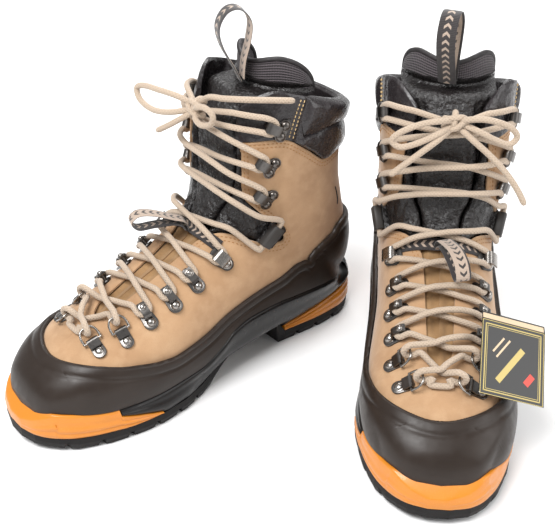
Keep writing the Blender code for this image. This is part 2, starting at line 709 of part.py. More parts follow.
def make_keeper_loop(boot, mat, rise):
    """Webbing loop at the foot of the tongue; it stands over the laces and leans outwards."""
    shape = ((0, 0), (3, 8.2), (12, 13.5), (25, 17), (36, 17.5), (40, 13.2), (36, 10.2), (25, 10.5),
             (12, 8.7), (5.5, 5), (2.6, 0.4))
    ahead = Vector((-0.34, -0.94, 0))
    path = []
    for u, w in shape:
        lift = w + rise * (u / 40) ** 2
        path.append(KEEPER_ROOT + ahead * u + Vector((0, 0, lift - 0.30 * u)))
    across = Vector((0.94, -0.34, 0))
    return boot.mesh("keeper_loop", *ribbon(smooth_path(path, 16), across, 10.5, 1.0), mat,
                     pivot=tuple(KEEPER_ROOT))


# ---------------------------------------------------------------- hardware
class Seat:
    """Local frame on the last: u up the lacing, v towards the lace opening, w outwards."""

    def __init__(self, s, t):
        self.s, self.t = s, t
        self.point = skin(s, t)
        self.out = normal(s, t)
        inward = skin(s, t - math.copysign(0.03, t)) - skin(s, t + math.copysign(0.03, t))
        self.inward = (inward - self.out * inward.dot(self.out)).normalized()
        upward = skin(s + 0.03, t) - skin(s - 0.03, t)
        upward -= self.out * upward.dot(self.out) + self.inward * upward.dot(self.inward)
        self.upward = upward.normalized()

    def place(self, u, v):
        """The (s, t) of a point at u up the lacing and v towards the opening."""
        s_step = (skin(self.s + 0.01, self.t) - skin(self.s - 0.01, self.t)).length / 0.02
        t_step = (skin(self.s, self.t * 0.9) - skin(self.s, self.t)).length / abs(self.t * 0.1)
        return self.s + u / s_step, self.t - math.copysign(v / t_step, self.t)

    def at(self, u, v, w):
        return self.point + self.upward * u + self.inward * v + self.out * w

    def slab(self, outline, low, high):
        return loft([[self.at(u, v, low) for u, v in outline],
                     [self.at(u, v, high) for u, v in outline]])

    def turned(self, u, v, profile, sides=6):
        """Round piece from a profile of (radius, height)."""
        rings = []
        for radius, w in profile:
            rings.append([self.at(u + radius * math.cos(2 * math.pi * k / sides),
                                  v + radius * math.sin(2 * math.pi * k / sides), w)
                          for k in range(sides)])
        return loft(rings)

    def drawn(self, profile, u0, u1):
        """Profile in (v, w) drawn out along u."""
        return loft([[self.at(u0, v, w) for v, w in profile], [self.at(u1, v, w) for v, w in profile]])


def oval(length, width, sides=10, centre=0.0):
    return [(width / 2 * math.sin(2 * math.pi * k / sides),
             centre + length / 2 * math.cos(2 * math.pi * k / sides)) for k in range(sides)]


def rivet(radius, low, height):
    return [(radius, low), (radius, low + 0.4 * height), (radius * 0.55, low + height)]


def bollard(low, neck=1.7, head=2.6, top=6.7):
    return [(neck, low), (neck, top - 2.4), (head, top - 1.4), (head * 0.55, top)]


RING_ROWS = ((0.224, 0.262), (0.286, 0.335))
RING_BAR_V, RING_BAR_W, RING_TILT = 3.6, 3.0, math.radians(20)
ROLLER_ROWS = ((0.347, 0.318), (0.407, 0.338), (0.464, 0.344))
ROLLER_REACH = 5.8
LOCK_ROW = (0.535, 0.385)
LOOP_ROW = (0.65, 0.462)
HOOK_ROWS = ((0.734, 0.3), (0.819, 0.3))
TOP_ROW = (0.925, 0.325)
HOOK_V = 5.0


def folded_plate(seat):
    """Plate riveted to the upper whose end is folded around the ring's bar."""
    v0, w0, inner, outer = RING_BAR_V, RING_BAR_W, 1.15, 2.05
    arc = [math.radians(a) for a in (-90, -45, 0, 45, 90, 135)]
    profile = [(-7.5, 0.4), (v0, w0 - outer)]
    profile += [(v0 + outer * math.cos(a), w0 + outer * math.sin(a)) for a in arc[1:]]
    profile += [(v0 + inner * math.cos(a), w0 + inner * math.sin(a)) for a in reversed(arc)]
    profile += [(-7.5, 1.9)]
    return seat.drawn(profile, -4.2, 4.2)


def strip_between(rows, t, low, high):
    """Narrow reinforcement that ties a row of fittings together."""
    path = [(a, t(a)) for a in rows]
    half = 2.0
    rings = []
    for s, mid in path:
        seat = Seat(s, mid)
        rings.append([seat.at(0, -half, low), seat.at(0, half, low), seat.at(0, half, high),
                      seat.at(0, -half, high)])
    return loft(rings)


def make_eyestay(boot, side, mat):
    """Lower eyestay of one side: two ring plates and three roller eyelets on one strip."""
    pieces = []
    line = [(s, t) for s, t in RING_ROWS] + [(s, t) for s, t in ROLLER_ROWS]
    rows = [0.218, 0.255, 0.286, 0.347, 0.407, 0.47]

    def outboard(s):
        return side * (table(line, s) + 0.045)
    pieces.append(strip_between(rows, outboard, 0.35, 1.15))
    for s, t in RING_ROWS:
        seat = Seat(s, side * t)
        pieces.append(folded_plate(seat))
        pieces.append(seat.turned(0, -4.0, rivet(2.6, 1.0, 2.4)))
    for s, t in ROLLER_ROWS:
        seat = Seat(s, side * t)
        pieces.append(seat.slab(oval(20, 8.4, 8), 0.5, 1.6))
        pieces.append(seat.turned(0, ROLLER_REACH, bollard(1.2)))
        pieces.append(seat.turned(0, -ROLLER_REACH, rivet(3.0, 1.2, 3.6)))
    return boot.union(f"eyestay_{side_name(side)}", pieces, mat)


def make_ring(boot, side, row, mat):
    """Wire D-ring that swings on its straight bar."""
    seat = Seat(RING_ROWS[row][0], side * RING_ROWS[row][1])
    outline = [(-5.6, 0), (5.6, 0), (6.2, 1.4), (6.2, 4.6), (5.2, 7.6), (2.8, 9.8), (-2.8, 9.8),
               (-5.2, 7.6), (-6.2, 4.6), (-6.2, 1.4)]
    points = [seat.at(u, RING_BAR_V + q * math.cos(RING_TILT), RING_BAR_W + q * math.sin(RING_TILT))
              for u, q in outline]
    pivot = seat.at(0, RING_BAR_V, RING_BAR_W)
    name = f"ring_{side_name(side)}_{row + 1}"
    return boot.tube(name, points, 0.8, mat, cyclic=True, pivot=tuple(pivot), resolution=1)


def make_lock_hook(boot, side, mat):
    """Locking hook on a drop-shaped base at the bend of the ankle."""
    seat = Seat(LOCK_ROW[0], side * LOCK_ROW[1])
    base = [(0, -12), (4, -9), (6.5, -3), (7, 3), (5.5, 8.5), (2.5, 10), (-2.5, 10), (-5.5, 8.5),
            (-7, 3), (-6.5, -3), (-4, -9)]
    pieces = [seat.slab(base, 0.4, 2.0), seat.turned(0, HOOK_V, bollard(1.6, head=3.0, top=7.2)),
              seat.turned(0, -5.0, rivet(3.0, 1.6, 2.6))]
    return boot.union(f"lock_hook_{side_name(side)}", pieces, mat)


def make_strap_loop(boot, side, mat):
    """Broad sleeve in the ankle cut-out that the lace runs through."""
    seat = Seat(LOOP_ROW[0], side * LOOP_ROW[1])
    outer = [(-4.4, 0.5), (4.4, 0.5), (4.4, 6.6), (3.2, 7.4), (-3.2, 7.4), (-4.4, 6.6)]
    inner = [(-2.7, 1.4), (2.7, 1.4), (2.7, 5.8), (1.9, 6.5), (-1.9, 6.5), (-2.7, 5.8)]
    rings = [[seat.at(u, v, w) for v, w in shape]
             for u, shape in ((-8.5, outer), (8.5, outer), (8.5, inner), (-8.5, inner))]
    n = len(outer)
    verts = [p for ring in rings for p in ring]
    faces = [(a * n + i, a * n + (i + 1) % n, ((a + 1) % 4) * n + (i + 1) % n, ((a + 1) % 4) * n + i)
             for a in range(4) for i in range(n)]
    return boot.mesh(f"strap_loop_{side_name(side)}", verts, faces, mat)


def hook_pieces(seat, low):
    plate = [(-6.8, -6.8), (6.8, -6.8), (7.2, -2.2), (3.4, 1.5), (3.4, 7.2), (-3.4, 7.2),
             (-3.4, 1.5), (-7.2, -2.2)]
    return [seat.slab(plate, low, low + 1.1),
            seat.turned(0, HOOK_V, bollard(low + 0.6, head=3.0, top=low + 7.0)),
            seat.turned(4.2, -4.2, rivet(2.5, low + 0.6, 2.6)),
            seat.turned(-4.2, -4.2, rivet(2.5, low + 0.6, 2.6))]


def make_hook_pair(boot, side, mat):
    """Two speed hooks on the tab, tied by one strip."""
    pieces = [strip_between([0.725, 0.745, 0.765, 0.785, 0.805, 0.825],
                            flat(side * 0.335), 0.35, 1.15)]
    for s, t in HOOK_ROWS:
        pieces += hook_pieces(Seat(s, side * t), 0.55)
    return boot.union(f"hooks_{side_name(side)}", pieces, mat)


def make_top_hook(boot, side, mat):
    pieces = hook_pieces(Seat(TOP_ROW[0], side * TOP_ROW[1]), 1.0)
    return boot.union(f"top_hook_{side_name(side)}", pieces, mat)


def side_name(side):
    return "medial" if side > 0 else "lateral"


# ---------------------------------------------------------------- lacing
def leg(near, far, lift):
    """Lace between two fittings: follows the surface and rises where it crosses the other."""
    s0, t0, w0 = near
    s1, t1, w1 = far
    points = []
    for f in (0.22, 0.4, 0.5, 0.6, 0.78):
        bump = math.exp(-((f - 0.5) / min(0.4, 0.022 / abs(s1 - s0))) ** 4)
        height = w0 + (w1 - w0) * f
        height += (2.9 + lift - height) * bump
        points.append(over(s0 + (s1 - s0) * f, t0 + (t1 - t0) * f, max(height, 2.9)))
    return points


STOPS = (("hook", TOP_ROW, 4.2),) + tuple(("hook", row, 3.9) for row in reversed(HOOK_ROWS)) \
    + (("loop", LOOP_ROW, 4.1), ("hook", LOCK_ROW, 4.1)) \
    + tuple(("roller", row, 4.1) for row in reversed(ROLLER_ROWS)) \
    + tuple(("ring", row, 4.5) for row in reversed(RING_ROWS))


def fitting_route(kind, seat, w):
    """Lace route through one fitting, from its upper to its lower side, as (u, v, w)."""
    if kind in ("hook", "roller"):
        v0 = HOOK_V if kind == "hook" else ROLLER_REACH
        turn = ((5.0, 4.5), (4.3, -2.9), (0, -5.4), (-4.3, -2.9), (-5.0, 4.5))
        return [(u, v0 + v, w) for u, v in turn]
    if kind == "loop":
        return [(13, 4.5, 4.3), (10, 0.6, 4.0), (-10, 0.6, 4.0), (-13, 4.5, 4.3)]
    wire = 9.8
    q, up = wire * math.cos(RING_TILT) + RING_BAR_V, wire * math.sin(RING_TILT) + RING_BAR_W
    turn = ((4.2, 2.2), (0.9, 3.9), (-2.9, 2.7), (-4.0, -0.8), (-1.8, -3.4), (1.8, -3.7),
            (5.6, -3.4))
    return [(1.8 - 0.6 * i, q + v, up + w) for i, (v, w) in enumerate(turn)]


def lace_half(start_side):
    """Route of one half of the lace from the knot down to the toe, changing sides each row."""
    side = start_side
    route, ends = [], []
    for kind, (s, t), w in STOPS:
        seat = Seat(s, side * t)
        here = fitting_route(kind, seat, w)
        ends.append((seat.place(*here[0][:2]) + (here[0][2],), [seat.at(*p) for p in here],
                     seat.place(*here[-1][:2]) + (here[-1][2],)))
        side = -side
    for number, (entry, points, leave) in enumerate(ends):
        if number == 0:
            knot_side = math.copysign(0.07, entry[1])
            route += leg((0.922, knot_side, 8.5), entry, 3.5)
        route += points
        if number < len(ends) - 1:
            lift = 0.0 if (start_side > 0) == (number % 2 == 0) else 6.0
            route += leg(leave, ends[number + 1][0], lift)
    return route


def simplified(points, tolerance):
    """Fewest points that keep a curve within the tolerance (halving at the farthest point)."""
    a, b = points[0], points[-1]
    line = b - a
    worst, at = 0.0, 0
    for i, p in enumerate(points[1:-1], 1):
        f = max(0.0, min(1.0, (p - a).dot(line) / max(line.length_squared, 1e-9)))
        away = (p - a - line * f).length
        if away > worst:
            worst, at = away, i
    if worst <= tolerance or not at:
        return [a, b]
    return simplified(points[:at + 1], tolerance)[:-1] + simplified(points[at:], tolerance)


def smooth_route(points, tolerance=0.7):
    return simplified(smooth_path(points, len(points) * 8), tolerance)


KNOT = Vector((-3.0, 20.0, 199.0))


def make_lace(boot, mat):
    """Lace from the knot down one side, across the toe and up the other side."""
    down, up = lace_half(1), lace_half(-1)
    start = [KNOT + Vector((8.2, 2.0, -1.0))]
    end = [KNOT + Vector((-8.2, 2.0, -1.0))]
    bar = [over(RING_ROWS[0][0] - 0.026, 0.07, 2.6), over(RING_ROWS[0][0] - 0.026, -0.07, 2.6)]
    if down[-1].x < 0:
        bar.reverse()
    route = start + down + bar + up[::-1] + end
    return boot.tube("lace", simplified(route, 0.4), LACE_RADIUS, mat, resolution=1)


def make_bow(boot, mat, strands):
    """Knot with its two loops and two loose ends."""
    rings = []
    for radius, x in ((1.5, -5.4), (4.6, -4.2), (5.6, -1.5), (5.6, 1.5), (4.6, 4.2), (1.5, 5.4)):
        rings.append([KNOT + Vector((x, 0.8 * radius * math.cos(math.pi * k / 4),
                                     radius * math.sin(math.pi * k / 4))) for k in range(8)])
    pieces = [loft(rings)]
    for strand in strands:
        pieces.append(tube_solid(smooth_route([Vector(p) for p in strand], 0.5), LACE_RADIUS))
    return boot.union("bow", pieces, mat)


def tube_solid(path, radius, sides=6):
    """Round tube along a path, as a closed mesh for a union."""
    rings, up = [], Vector((0, 0, 1))
    for i, p in enumerate(path):
        ahead = (path[min(i + 1, len(path) - 1)] - path[max(i - 1, 0)]).normalized()
        up = (up - ahead * up.dot(ahead)).normalized()
        across = ahead.cross(up)
        rings.append([p + (up * math.cos(2 * math.pi * k / sides)
                           + across * math.sin(2 * math.pi * k / sides)) * radius
                      for k in range(sides)])
    return loft(rings)


# Bow strands, by hand, in each boot's frame
RIGHT_BOW = (
    [(-3, 19, 199), (-14, 11, 205), (-30, 6, 206), (-44, 4, 205), (-52, 3, 201), (-47, 2, 194),
     (-33, 3, 191), (-18, 8, 193), (-3, 19, 198)],
    [(-3, 20, 198), (5, 12, 203), (14, 12, 206), (20, 14, 202), (18, 14, 195), (10, 12, 192),
     (2, 13, 194), (-3, 19, 198)],
    [(-3, 19, 200), (8, 20, 209), (20, 24, 211), (33, 33, 212), (43, 47, 211), (49, 60, 209)],
    [(-3, 19, 197), (-12, 9, 189), (-20, 5, 183), (-29, 2, 177)],
)
LEFT_BOW = (
    [(-3, 19, 199), (7, 12, 202), (20, 10, 200), (33, 9, 194), (38, 9, 188), (32, 8, 184),
     (20, 8, 188), (8, 10, 194), (-3, 19, 198)],
    [(-3, 20, 198), (-12, 12, 204), (-24, 12, 204), (-37, 14, 199), (-43, 15, 192), (-38, 13, 187),
     (-28, 11, 191), (-18, 11, 196), (-3, 19, 199)],
    [(-3, 19, 197), (8, 9, 190), (20, 5, 181), (30, 3, 173), (38, 2, 166)],
    [(-3, 19, 197), (-14, 9, 191), (-25, 5, 183), (-36, 2, 173), (-45, -1, 162), (-51, -4, 152)],
)


# ---------------------------------------------------------------- hang tag
TAG_SIZE = (47.0, 50.0, 4.6)
TAG_CORNER = Vector((-24.0, -57.5, 96.0))


def make_hang_tag(boot, mat):
    """Folded card booklet that leans on the lacing of the left boot."""
    width, height, thickness = TAG_SIZE
    right = Vector((-0.915, 0.20, -0.36)).normalized()
    down = Vector((-0.08, -0.80, -0.60))
    down = (down - right * down.dot(right)).normalized()
    out = right.cross(down).normalized()
    out = out if out.z > 0 else -out
    corner = TAG_CORNER
    rings = []
    for depth in (0.0, thickness):
        rings.append([corner + out * depth + right * a + down * b
                      for a, b in ((0, 0), (width, 0), (width, height), (0, height))])
    return boot.mesh("hang_tag", *loft(rings), mat, pivot=tuple(corner))


# ---------------------------------------------------------------- assembly
def make_boot(boot, bow, rise):
    tan = material("tan_suede", LEATHER_TAN, 0.85)
    brown = material("rand_rubber", RUBBER_BROWN, 0.45)
    black = material("black_rubber", RUBBER_BLACK, 0.55)
    orange = material("orange_foam", ORANGE, 0.45)
    leather = material("black_leather", BLACK_LEATHER, 0.5)
    mesh = material("grey_mesh", GREY_MESH, 0.9)
    metal = material("gunmetal", GUNMETAL, 0.3, 1.0)
    cord = material("beige_cord", BEIGE_CORD, 0.9)
    web = material("black_webbing", BLACK_LEATHER, 0.8)
    make_outsole(boot, black)
    make_toe_insert(boot, orange)
    make_heel_insert(boot, orange)
    make_midsole(boot, black)
    make_rand(boot, brown)
    make_upper(boot, tan)
    make_lining(boot, leather)
    make_collar(boot, leather)
    make_tongue_lower(boot, tan)
    make_tongue_flap(boot, leather)
    make_footbed(boot, mesh)
    make_pull_loop(boot, web)
    make_keeper_loop(boot, web, rise)
    for side in (1, -1):
        make_eyestay(boot, side, metal)
        for row in (0, 1):
            make_ring(boot, side, row, metal)
        make_lock_hook(boot, side, metal)
        make_strap_loop(boot, side, black)
        make_hook_pair(boot, side, metal)
        make_top_hook(boot, side, metal)
    make_lace(boot, cord)
    make_bow(boot, cord, bow)


def main():
    clear_scene()
    parts = bpy.data.collections.new("mountaineering_boots")
    bpy.context.scene.collection.children.link(parts)
    right = Boot("right", 1, RIGHT_PLACE, parts)
    left = Boot("left", -1, LEFT_PLACE, parts)
    make_boot(right, RIGHT_BOW, 9)
    make_boot(left, LEFT_BOW, -4)
    make_hang_tag(left, material("card", (0.03, 0.03, 0.032), 0.5))


main()
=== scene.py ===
"""Looks of the pair of mountaineering boots: leather, rubber, laces, metal and stitching.

Every piece is drawn in its boot's own frame, in millimetres (x to the inner side, y from toe to
heel, z up), and placed in metres in the row frame. The foot shape is the same last as the CAD's.
"""
import math

import bmesh
import bpy
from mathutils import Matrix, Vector, kdtree, noise


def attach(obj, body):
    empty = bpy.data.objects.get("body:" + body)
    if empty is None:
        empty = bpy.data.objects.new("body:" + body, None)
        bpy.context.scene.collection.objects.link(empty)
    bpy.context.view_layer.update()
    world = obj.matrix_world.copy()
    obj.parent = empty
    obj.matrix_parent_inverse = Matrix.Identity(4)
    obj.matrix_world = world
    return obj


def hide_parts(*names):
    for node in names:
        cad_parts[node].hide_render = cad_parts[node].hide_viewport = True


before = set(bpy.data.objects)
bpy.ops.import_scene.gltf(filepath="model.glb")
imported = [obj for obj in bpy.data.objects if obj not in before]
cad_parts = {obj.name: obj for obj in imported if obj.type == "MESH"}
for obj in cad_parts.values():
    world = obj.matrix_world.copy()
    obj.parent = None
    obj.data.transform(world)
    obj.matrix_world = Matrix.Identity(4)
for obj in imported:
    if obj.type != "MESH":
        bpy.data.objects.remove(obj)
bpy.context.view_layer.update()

# ---------------------------------------------------------------- places and driving sizes
MM = 0.001
RIGHT_PLACE = (-0.0588, 0.02586, -49.6)     # x, y (m) and turn (degrees) of the right boot
LEFT_PLACE = (0.1192, -0.00164, -5.8)
CAMERA_PLACE = (0.0074, -0.5943, 0.4848)
CAMERA_TILT = 0.5769                        # radians below the horizon
CAMERA_LENS = 66.3
GAP = 0.35                                  # mm between the layers of the sole
LACE_RADIUS = 2.1
RAND_INNER, RAND_OUTER = 0.6, 3.4           # rubber rand, measured out from the last
BAND = 7.0                                  # width of the rand's raised upper band
LINING_OUTER, LINING_INNER = -4.2, -7.0

# Last: heel-side point (y, z), front point (y, z), half width, end angle, front and back
# squareness, sideways shift
LAST = (
    (-128, 30, -129.5, 36, 13, 95, 2.0, 2.0, -3),
    (-126, 28, -125.5, 44, 24, 98, 2.1, 2.0, -3),
    (-120, 27, -118, 52.5, 32.5, 100, 2.1, 2.0, -3),
    (-111, 26, -108, 60, 39.5, 102, 2.15, 2.0, -3),
    (-98, 25, -94, 66.5, 44.5, 104, 2.1, 2.0, -2.5),
    (-82, 24, -79, 72.5, 47.5, 105, 2.0, 2.0, -2.5),
    (-62, 23, -63, 79, 49, 105, 2.0, 2.0, -2.5),
    (-40, 22, -47, 85.5, 48, 105, 2.1, 2.0, -2.5),
    (-14, 23, -31, 92, 46, 104, 2.25, 2.0, -2),
    (16, 25, -15, 99.5, 43.5, 104, 2.45, 2.0, -1.5),
    (50, 27, -1, 108, 42.5, 106, 2.7, 2.0, -1),
    (88, 29, 10, 118, 42, 112, 2.9, 2.0, 0),
    (119, 31, 17, 129, 42, 126, 3.1, 2.0, 0),
    (139, 36, 21.5, 141, 42.7, 180, 3.3, 2.05, 0),
    (144, 56, 24, 155, 44, 180, 3.4, 2.1, 0),
    (141, 80, 25.5, 169, 45, 180, 3.4, 2.15, 0),
    (135, 104, 26.5, 182, 45.3, 180, 3.2, 2.2, 0),
    (131, 130, 28, 193, 45.5, 180, 2.9, 2.2, 0),
    (131, 158, 32, 206, 46.5, 180, 2.6, 2.2, 0),
    (134, 184, 39, 220, 47.5, 180, 2.45, 2.2, 0),
)
# Edges drawn on the last as (s, t): s runs from toe to collar, t from the ridge (0) to the sole
RAND_TOP = ((0.132, 0), (0.1326, 0.03), (0.135, 0.08), (0.140, 0.14), (0.148, 0.2), (0.166, 0.3),
            (0.196, 0.415), (0.246, 0.54), (0.291, 0.62), (0.332, 0.69), (0.377, 0.74),
            (0.43, 0.75), (0.482, 0.735), (0.568, 0.74), (0.598, 0.73), (0.628, 0.705),
            (0.658, 0.61), (0.684, 0.545), (0.7, 0.555), (0.729, 0.598), (0.754, 0.63),
            (0.774, 0.68), (0.79, 0.76), (0.803, 0.87), (0.81, 1.0))
TAN_FRONT = ((0.262, 0), (0.275, 0.05), (0.3, 0.095), (0.52, 0.105), (0.55, 0.14), (0.578, 0.22),
             (0.593, 0.31), (0.606, 0.43), (0.618, 0.515), (0.633, 0.555), (0.645, 0.55),
             (0.66, 0.51), (0.676, 0.43), (0.688, 0.3), (0.7, 0.2), (0.735, 0.17), (0.845, 0.15))
TAB_END = TAN_FRONT[-1][0]
TAN_TOP = ((0.15, 0.845), (0.2, 0.858), (0.3, 0.886), (0.375, 0.903), (0.42, 0.908), (0.48, 0.903),
           (0.52, 0.897), (0.56, 0.893), (0.6, 0.9), (0.65, 0.912), (0.75, 0.922), (1.0, 0.928))
TOE_TIP = Vector((-3, -129.8, 32.2))
# Height of the line where rand and sole meet, along y
WELT = ((-131, 31), (-117, 29), (-92, 26), (-60, 25), (-25, 27), (-4, 36), (8, 44), (25, 48.5),
        (50, 49.5), (70, 48), (100, 45), (128, 39), (150, 36.5))
# Plan of the sole: y, lateral x, medial x
SOLE_PLAN = ((-146, -10, 5), (-142.5, -23, 17), (-135, -32.5, 27.5), (-121, -41.5, 38),
             (-101, -49, 46), (-80, -53.5, 51), (-60, -55, 52.5), (-40, -53.5, 50.5),
             (-20, -49, 44.5), (-4, -45, 38), (15, -41.5, 34), (40, -39.5, 32.5),
             (60, -38.5, 33.5), (80, -39.5, 35.5), (100, -39.5, 37), (120, -37.5, 36),
             (134, -32, 31), (144, -21, 21), (149.5, -8, 8))
OUTSOLE_TOP = ((-146, 13), (-121, 10.8), (-76, 9.2), (-22, 9.2), (-8, 11.5), (12, 17.5),
               (25, 21), (40, 22), (52, 21.5), (60.2, 19), (66, 9.2), (150, 9.2))
FEATHER = ((-128, 30), (-120, 27), (-98, 25), (-40, 22), (16, 25), (50, 27), (88, 29),
           (119, 30.6), (150, 32.6))
HEEL_WEDGE = ((66, 14.5), (80, 16.5), (100, 21), (120, 25), (136, 27), (150, 27.5))
# Fittings on the last as (s, t), from the toe up
RING_ROWS = ((0.224, 0.262), (0.286, 0.335))
RING_BAR_V, RING_BAR_W, RING_TILT = 3.6, 3.0, math.radians(20)
ROLLER_ROWS = ((0.347, 0.318), (0.407, 0.338), (0.464, 0.344))
ROLLER_REACH = 5.8
LOCK_ROW = (0.535, 0.385)
LOOP_ROW = (0.65, 0.462)
HOOK_ROWS = ((0.734, 0.3), (0.819, 0.3))
TOP_ROW = (0.925, 0.325)
HOOK_V = 5.0
KNOT = Vector((-3.0, 20.0, 199.0))
STITCH_ROWS = (2.4, 5.0)                    # mm from the suede's edges
FLAP_SEAM = 0.44                            # t of the collar's vertical seam
LOBE_START = 0.115                          # t where the lining comes out beside the tongue
WEB_THICKNESS = 1.1
SIDES = (1, -1)                             # medial, lateral


# ---------------------------------------------------------------- reading tables
def table(points, x):
    """Straight-line reading of a table of (x, y) pairs."""
    if x <= points[0][0]:
        return points[0][1]
    for (x0, y0), (x1, y1) in zip(points, points[1:]):
        if x <= x1:
            return y0 + (y1 - y0) * (x - x0) / (x1 - x0)
    return points[-1][1]


SLOPES = {}


def slopes(points):
    """Slopes for a smooth curve through a table that never overshoots it."""
    steps = [(b[1] - a[1]) / (b[0] - a[0]) for a, b in zip(points, points[1:])]
    inner = [0.0 if p * q <= 0 else 2 * p * q / (p + q) for p, q in zip(steps, steps[1:])]
    return [steps[0]] + inner + [steps[-1]]


def curve(points, x):
    """Smooth reading of a table of (x, y) pairs."""
    if points not in SLOPES:
        SLOPES[points] = slopes(points)
    slope = SLOPES[points]
    if x <= points[0][0]:
        return points[0][1]
    for i, ((x0, y0), (x1, y1)) in enumerate(zip(points, points[1:])):
        if x <= x1:
            h = x1 - x0
            f = (x - x0) / h
            return (y0 * (1 + 2 * f) * (1 - f) ** 2 + h * slope[i] * f * (1 - f) ** 2
                    + y1 * f * f * (3 - 2 * f) + h * slope[i + 1] * f * f * (f - 1))
    return points[-1][1]


def steps(a, b, count):
    """Even steps from a to b, both ends included."""
    return [a + (b - a) * i / count for i in range(count + 1)]


def ease(x):
    """Soft step: 0 below x = 0 and 1 above x = 1."""
    x = max(0.0, min(1.0, x))
    return x * x * (3 - 2 * x)


def hump(x, middle, width):
    """Bell curve with height 1."""
    return math.exp(-((x - middle) / width) ** 2)


# ---------------------------------------------------------------- the last
def section(s):
    """The last's measures at s, read smoothly between its rows."""
    last = len(LAST) - 1
    place = min(max(s, 0.0), 1.0) * last
    i = min(int(place), last - 1)
    f = place - i
    a, b, c, d = (LAST[max(i - 1, 0)], LAST[i], LAST[i + 1], LAST[min(i + 2, last)])
    return [0.5 * (2 * q + (r - p) * f + (2 * p - 5 * q + 4 * r - u) * f * f
                   + (3 * q - p - 3 * r + u) * f ** 3) for p, q, r, u in zip(a, b, c, d)]


def skin(s, t):
    """Point of the last's surface: t = 0 on the ridge, 1 medial and -1 lateral."""
    back_y, back_z, front_y, front_z, half, end, n_front, n_back, shift = section(s)
    end = math.radians(min(end, 180.0))
    angle = abs(t) * end
    power = 2.0 / (n_front if angle < math.pi / 2 else n_back)
    wide = half * abs(math.sin(angle)) ** power
    deep = math.copysign(abs(math.cos(angle)) ** power, math.cos(angle))
    deepest = -abs(math.cos(end)) ** (2.0 / n_back)
    v = (1 - deep) / (1 - deepest)
    x = shift * min(1.0, 1.2 * v + 0.2) + math.copysign(wide, t)
    return Vector((x, front_y + (back_y - front_y) * v, front_z + (back_z - front_z) * v))


def normal(s, t):
    """Outward direction of the last's surface."""
    step = 0.012
    s0, s1 = max(s - step, 0.0), min(s + step, 1.0)
    t0, t1 = t - step, t + step
    closed = section(s)[5] >= 179.9
    if t0 < -1:
        t0 = t0 + 2 if closed else -1
    if t1 > 1:
        t1 = t1 - 2 if closed else 1
    out = (skin(s1, t) - skin(s0, t)).cross(skin(s, t1) - skin(s, t0)).normalized()
    back_y, back_z, front_y, front_z = section(s)[:4]
    middle = Vector((0, (back_y + front_y) / 2, (back_z + front_z) / 2))
    return out if out.dot(skin(s, t) - middle) > 0 else -out


def over(s, t, height=0.0):
    """Point at a height above the last's surface."""
    return skin(s, t) + normal(s, t) * height


def t_at_height(s, z, side):
    """Value of t where the section at s comes down to height z."""
    low, high = 0.0, 1.0
    if skin(s, side).z > z:
        return side
    for _ in range(22):
        mid = (low + high) / 2
        low, high = (mid, high) if skin(s, side * mid).z > z else (low, mid)
    return side * high


def t_at_welt(s, side, height, lift):
    """Value of t where the surface at this height above the last comes down to the welt."""
    low, high = 0.0, 1.0
    for _ in range(18):
        mid = (low + high) / 2
        p = over(s, side * mid, height)
        low, high = (mid, high) if p.z > curve(WELT, p.y) + lift else (low, mid)
    return high


def plan_width(z, y, side):
    """Half width of the last at height z and place y; 0 beyond its ends."""
    outline = []
    for i in range(61):
        s = i / 60 * 0.86
        if section(s)[3] < z:
            continue
        point = skin(s, t_at_height(s, z, side))
        outline.append((point.y, abs(point.x)))
        if s > 0.64 and point.x * side < 0.5:
            break
    outline.sort()
    if not outline[0][0] <= y <= outline[-1][0]:
        return 0.0
    return table(outline, y)


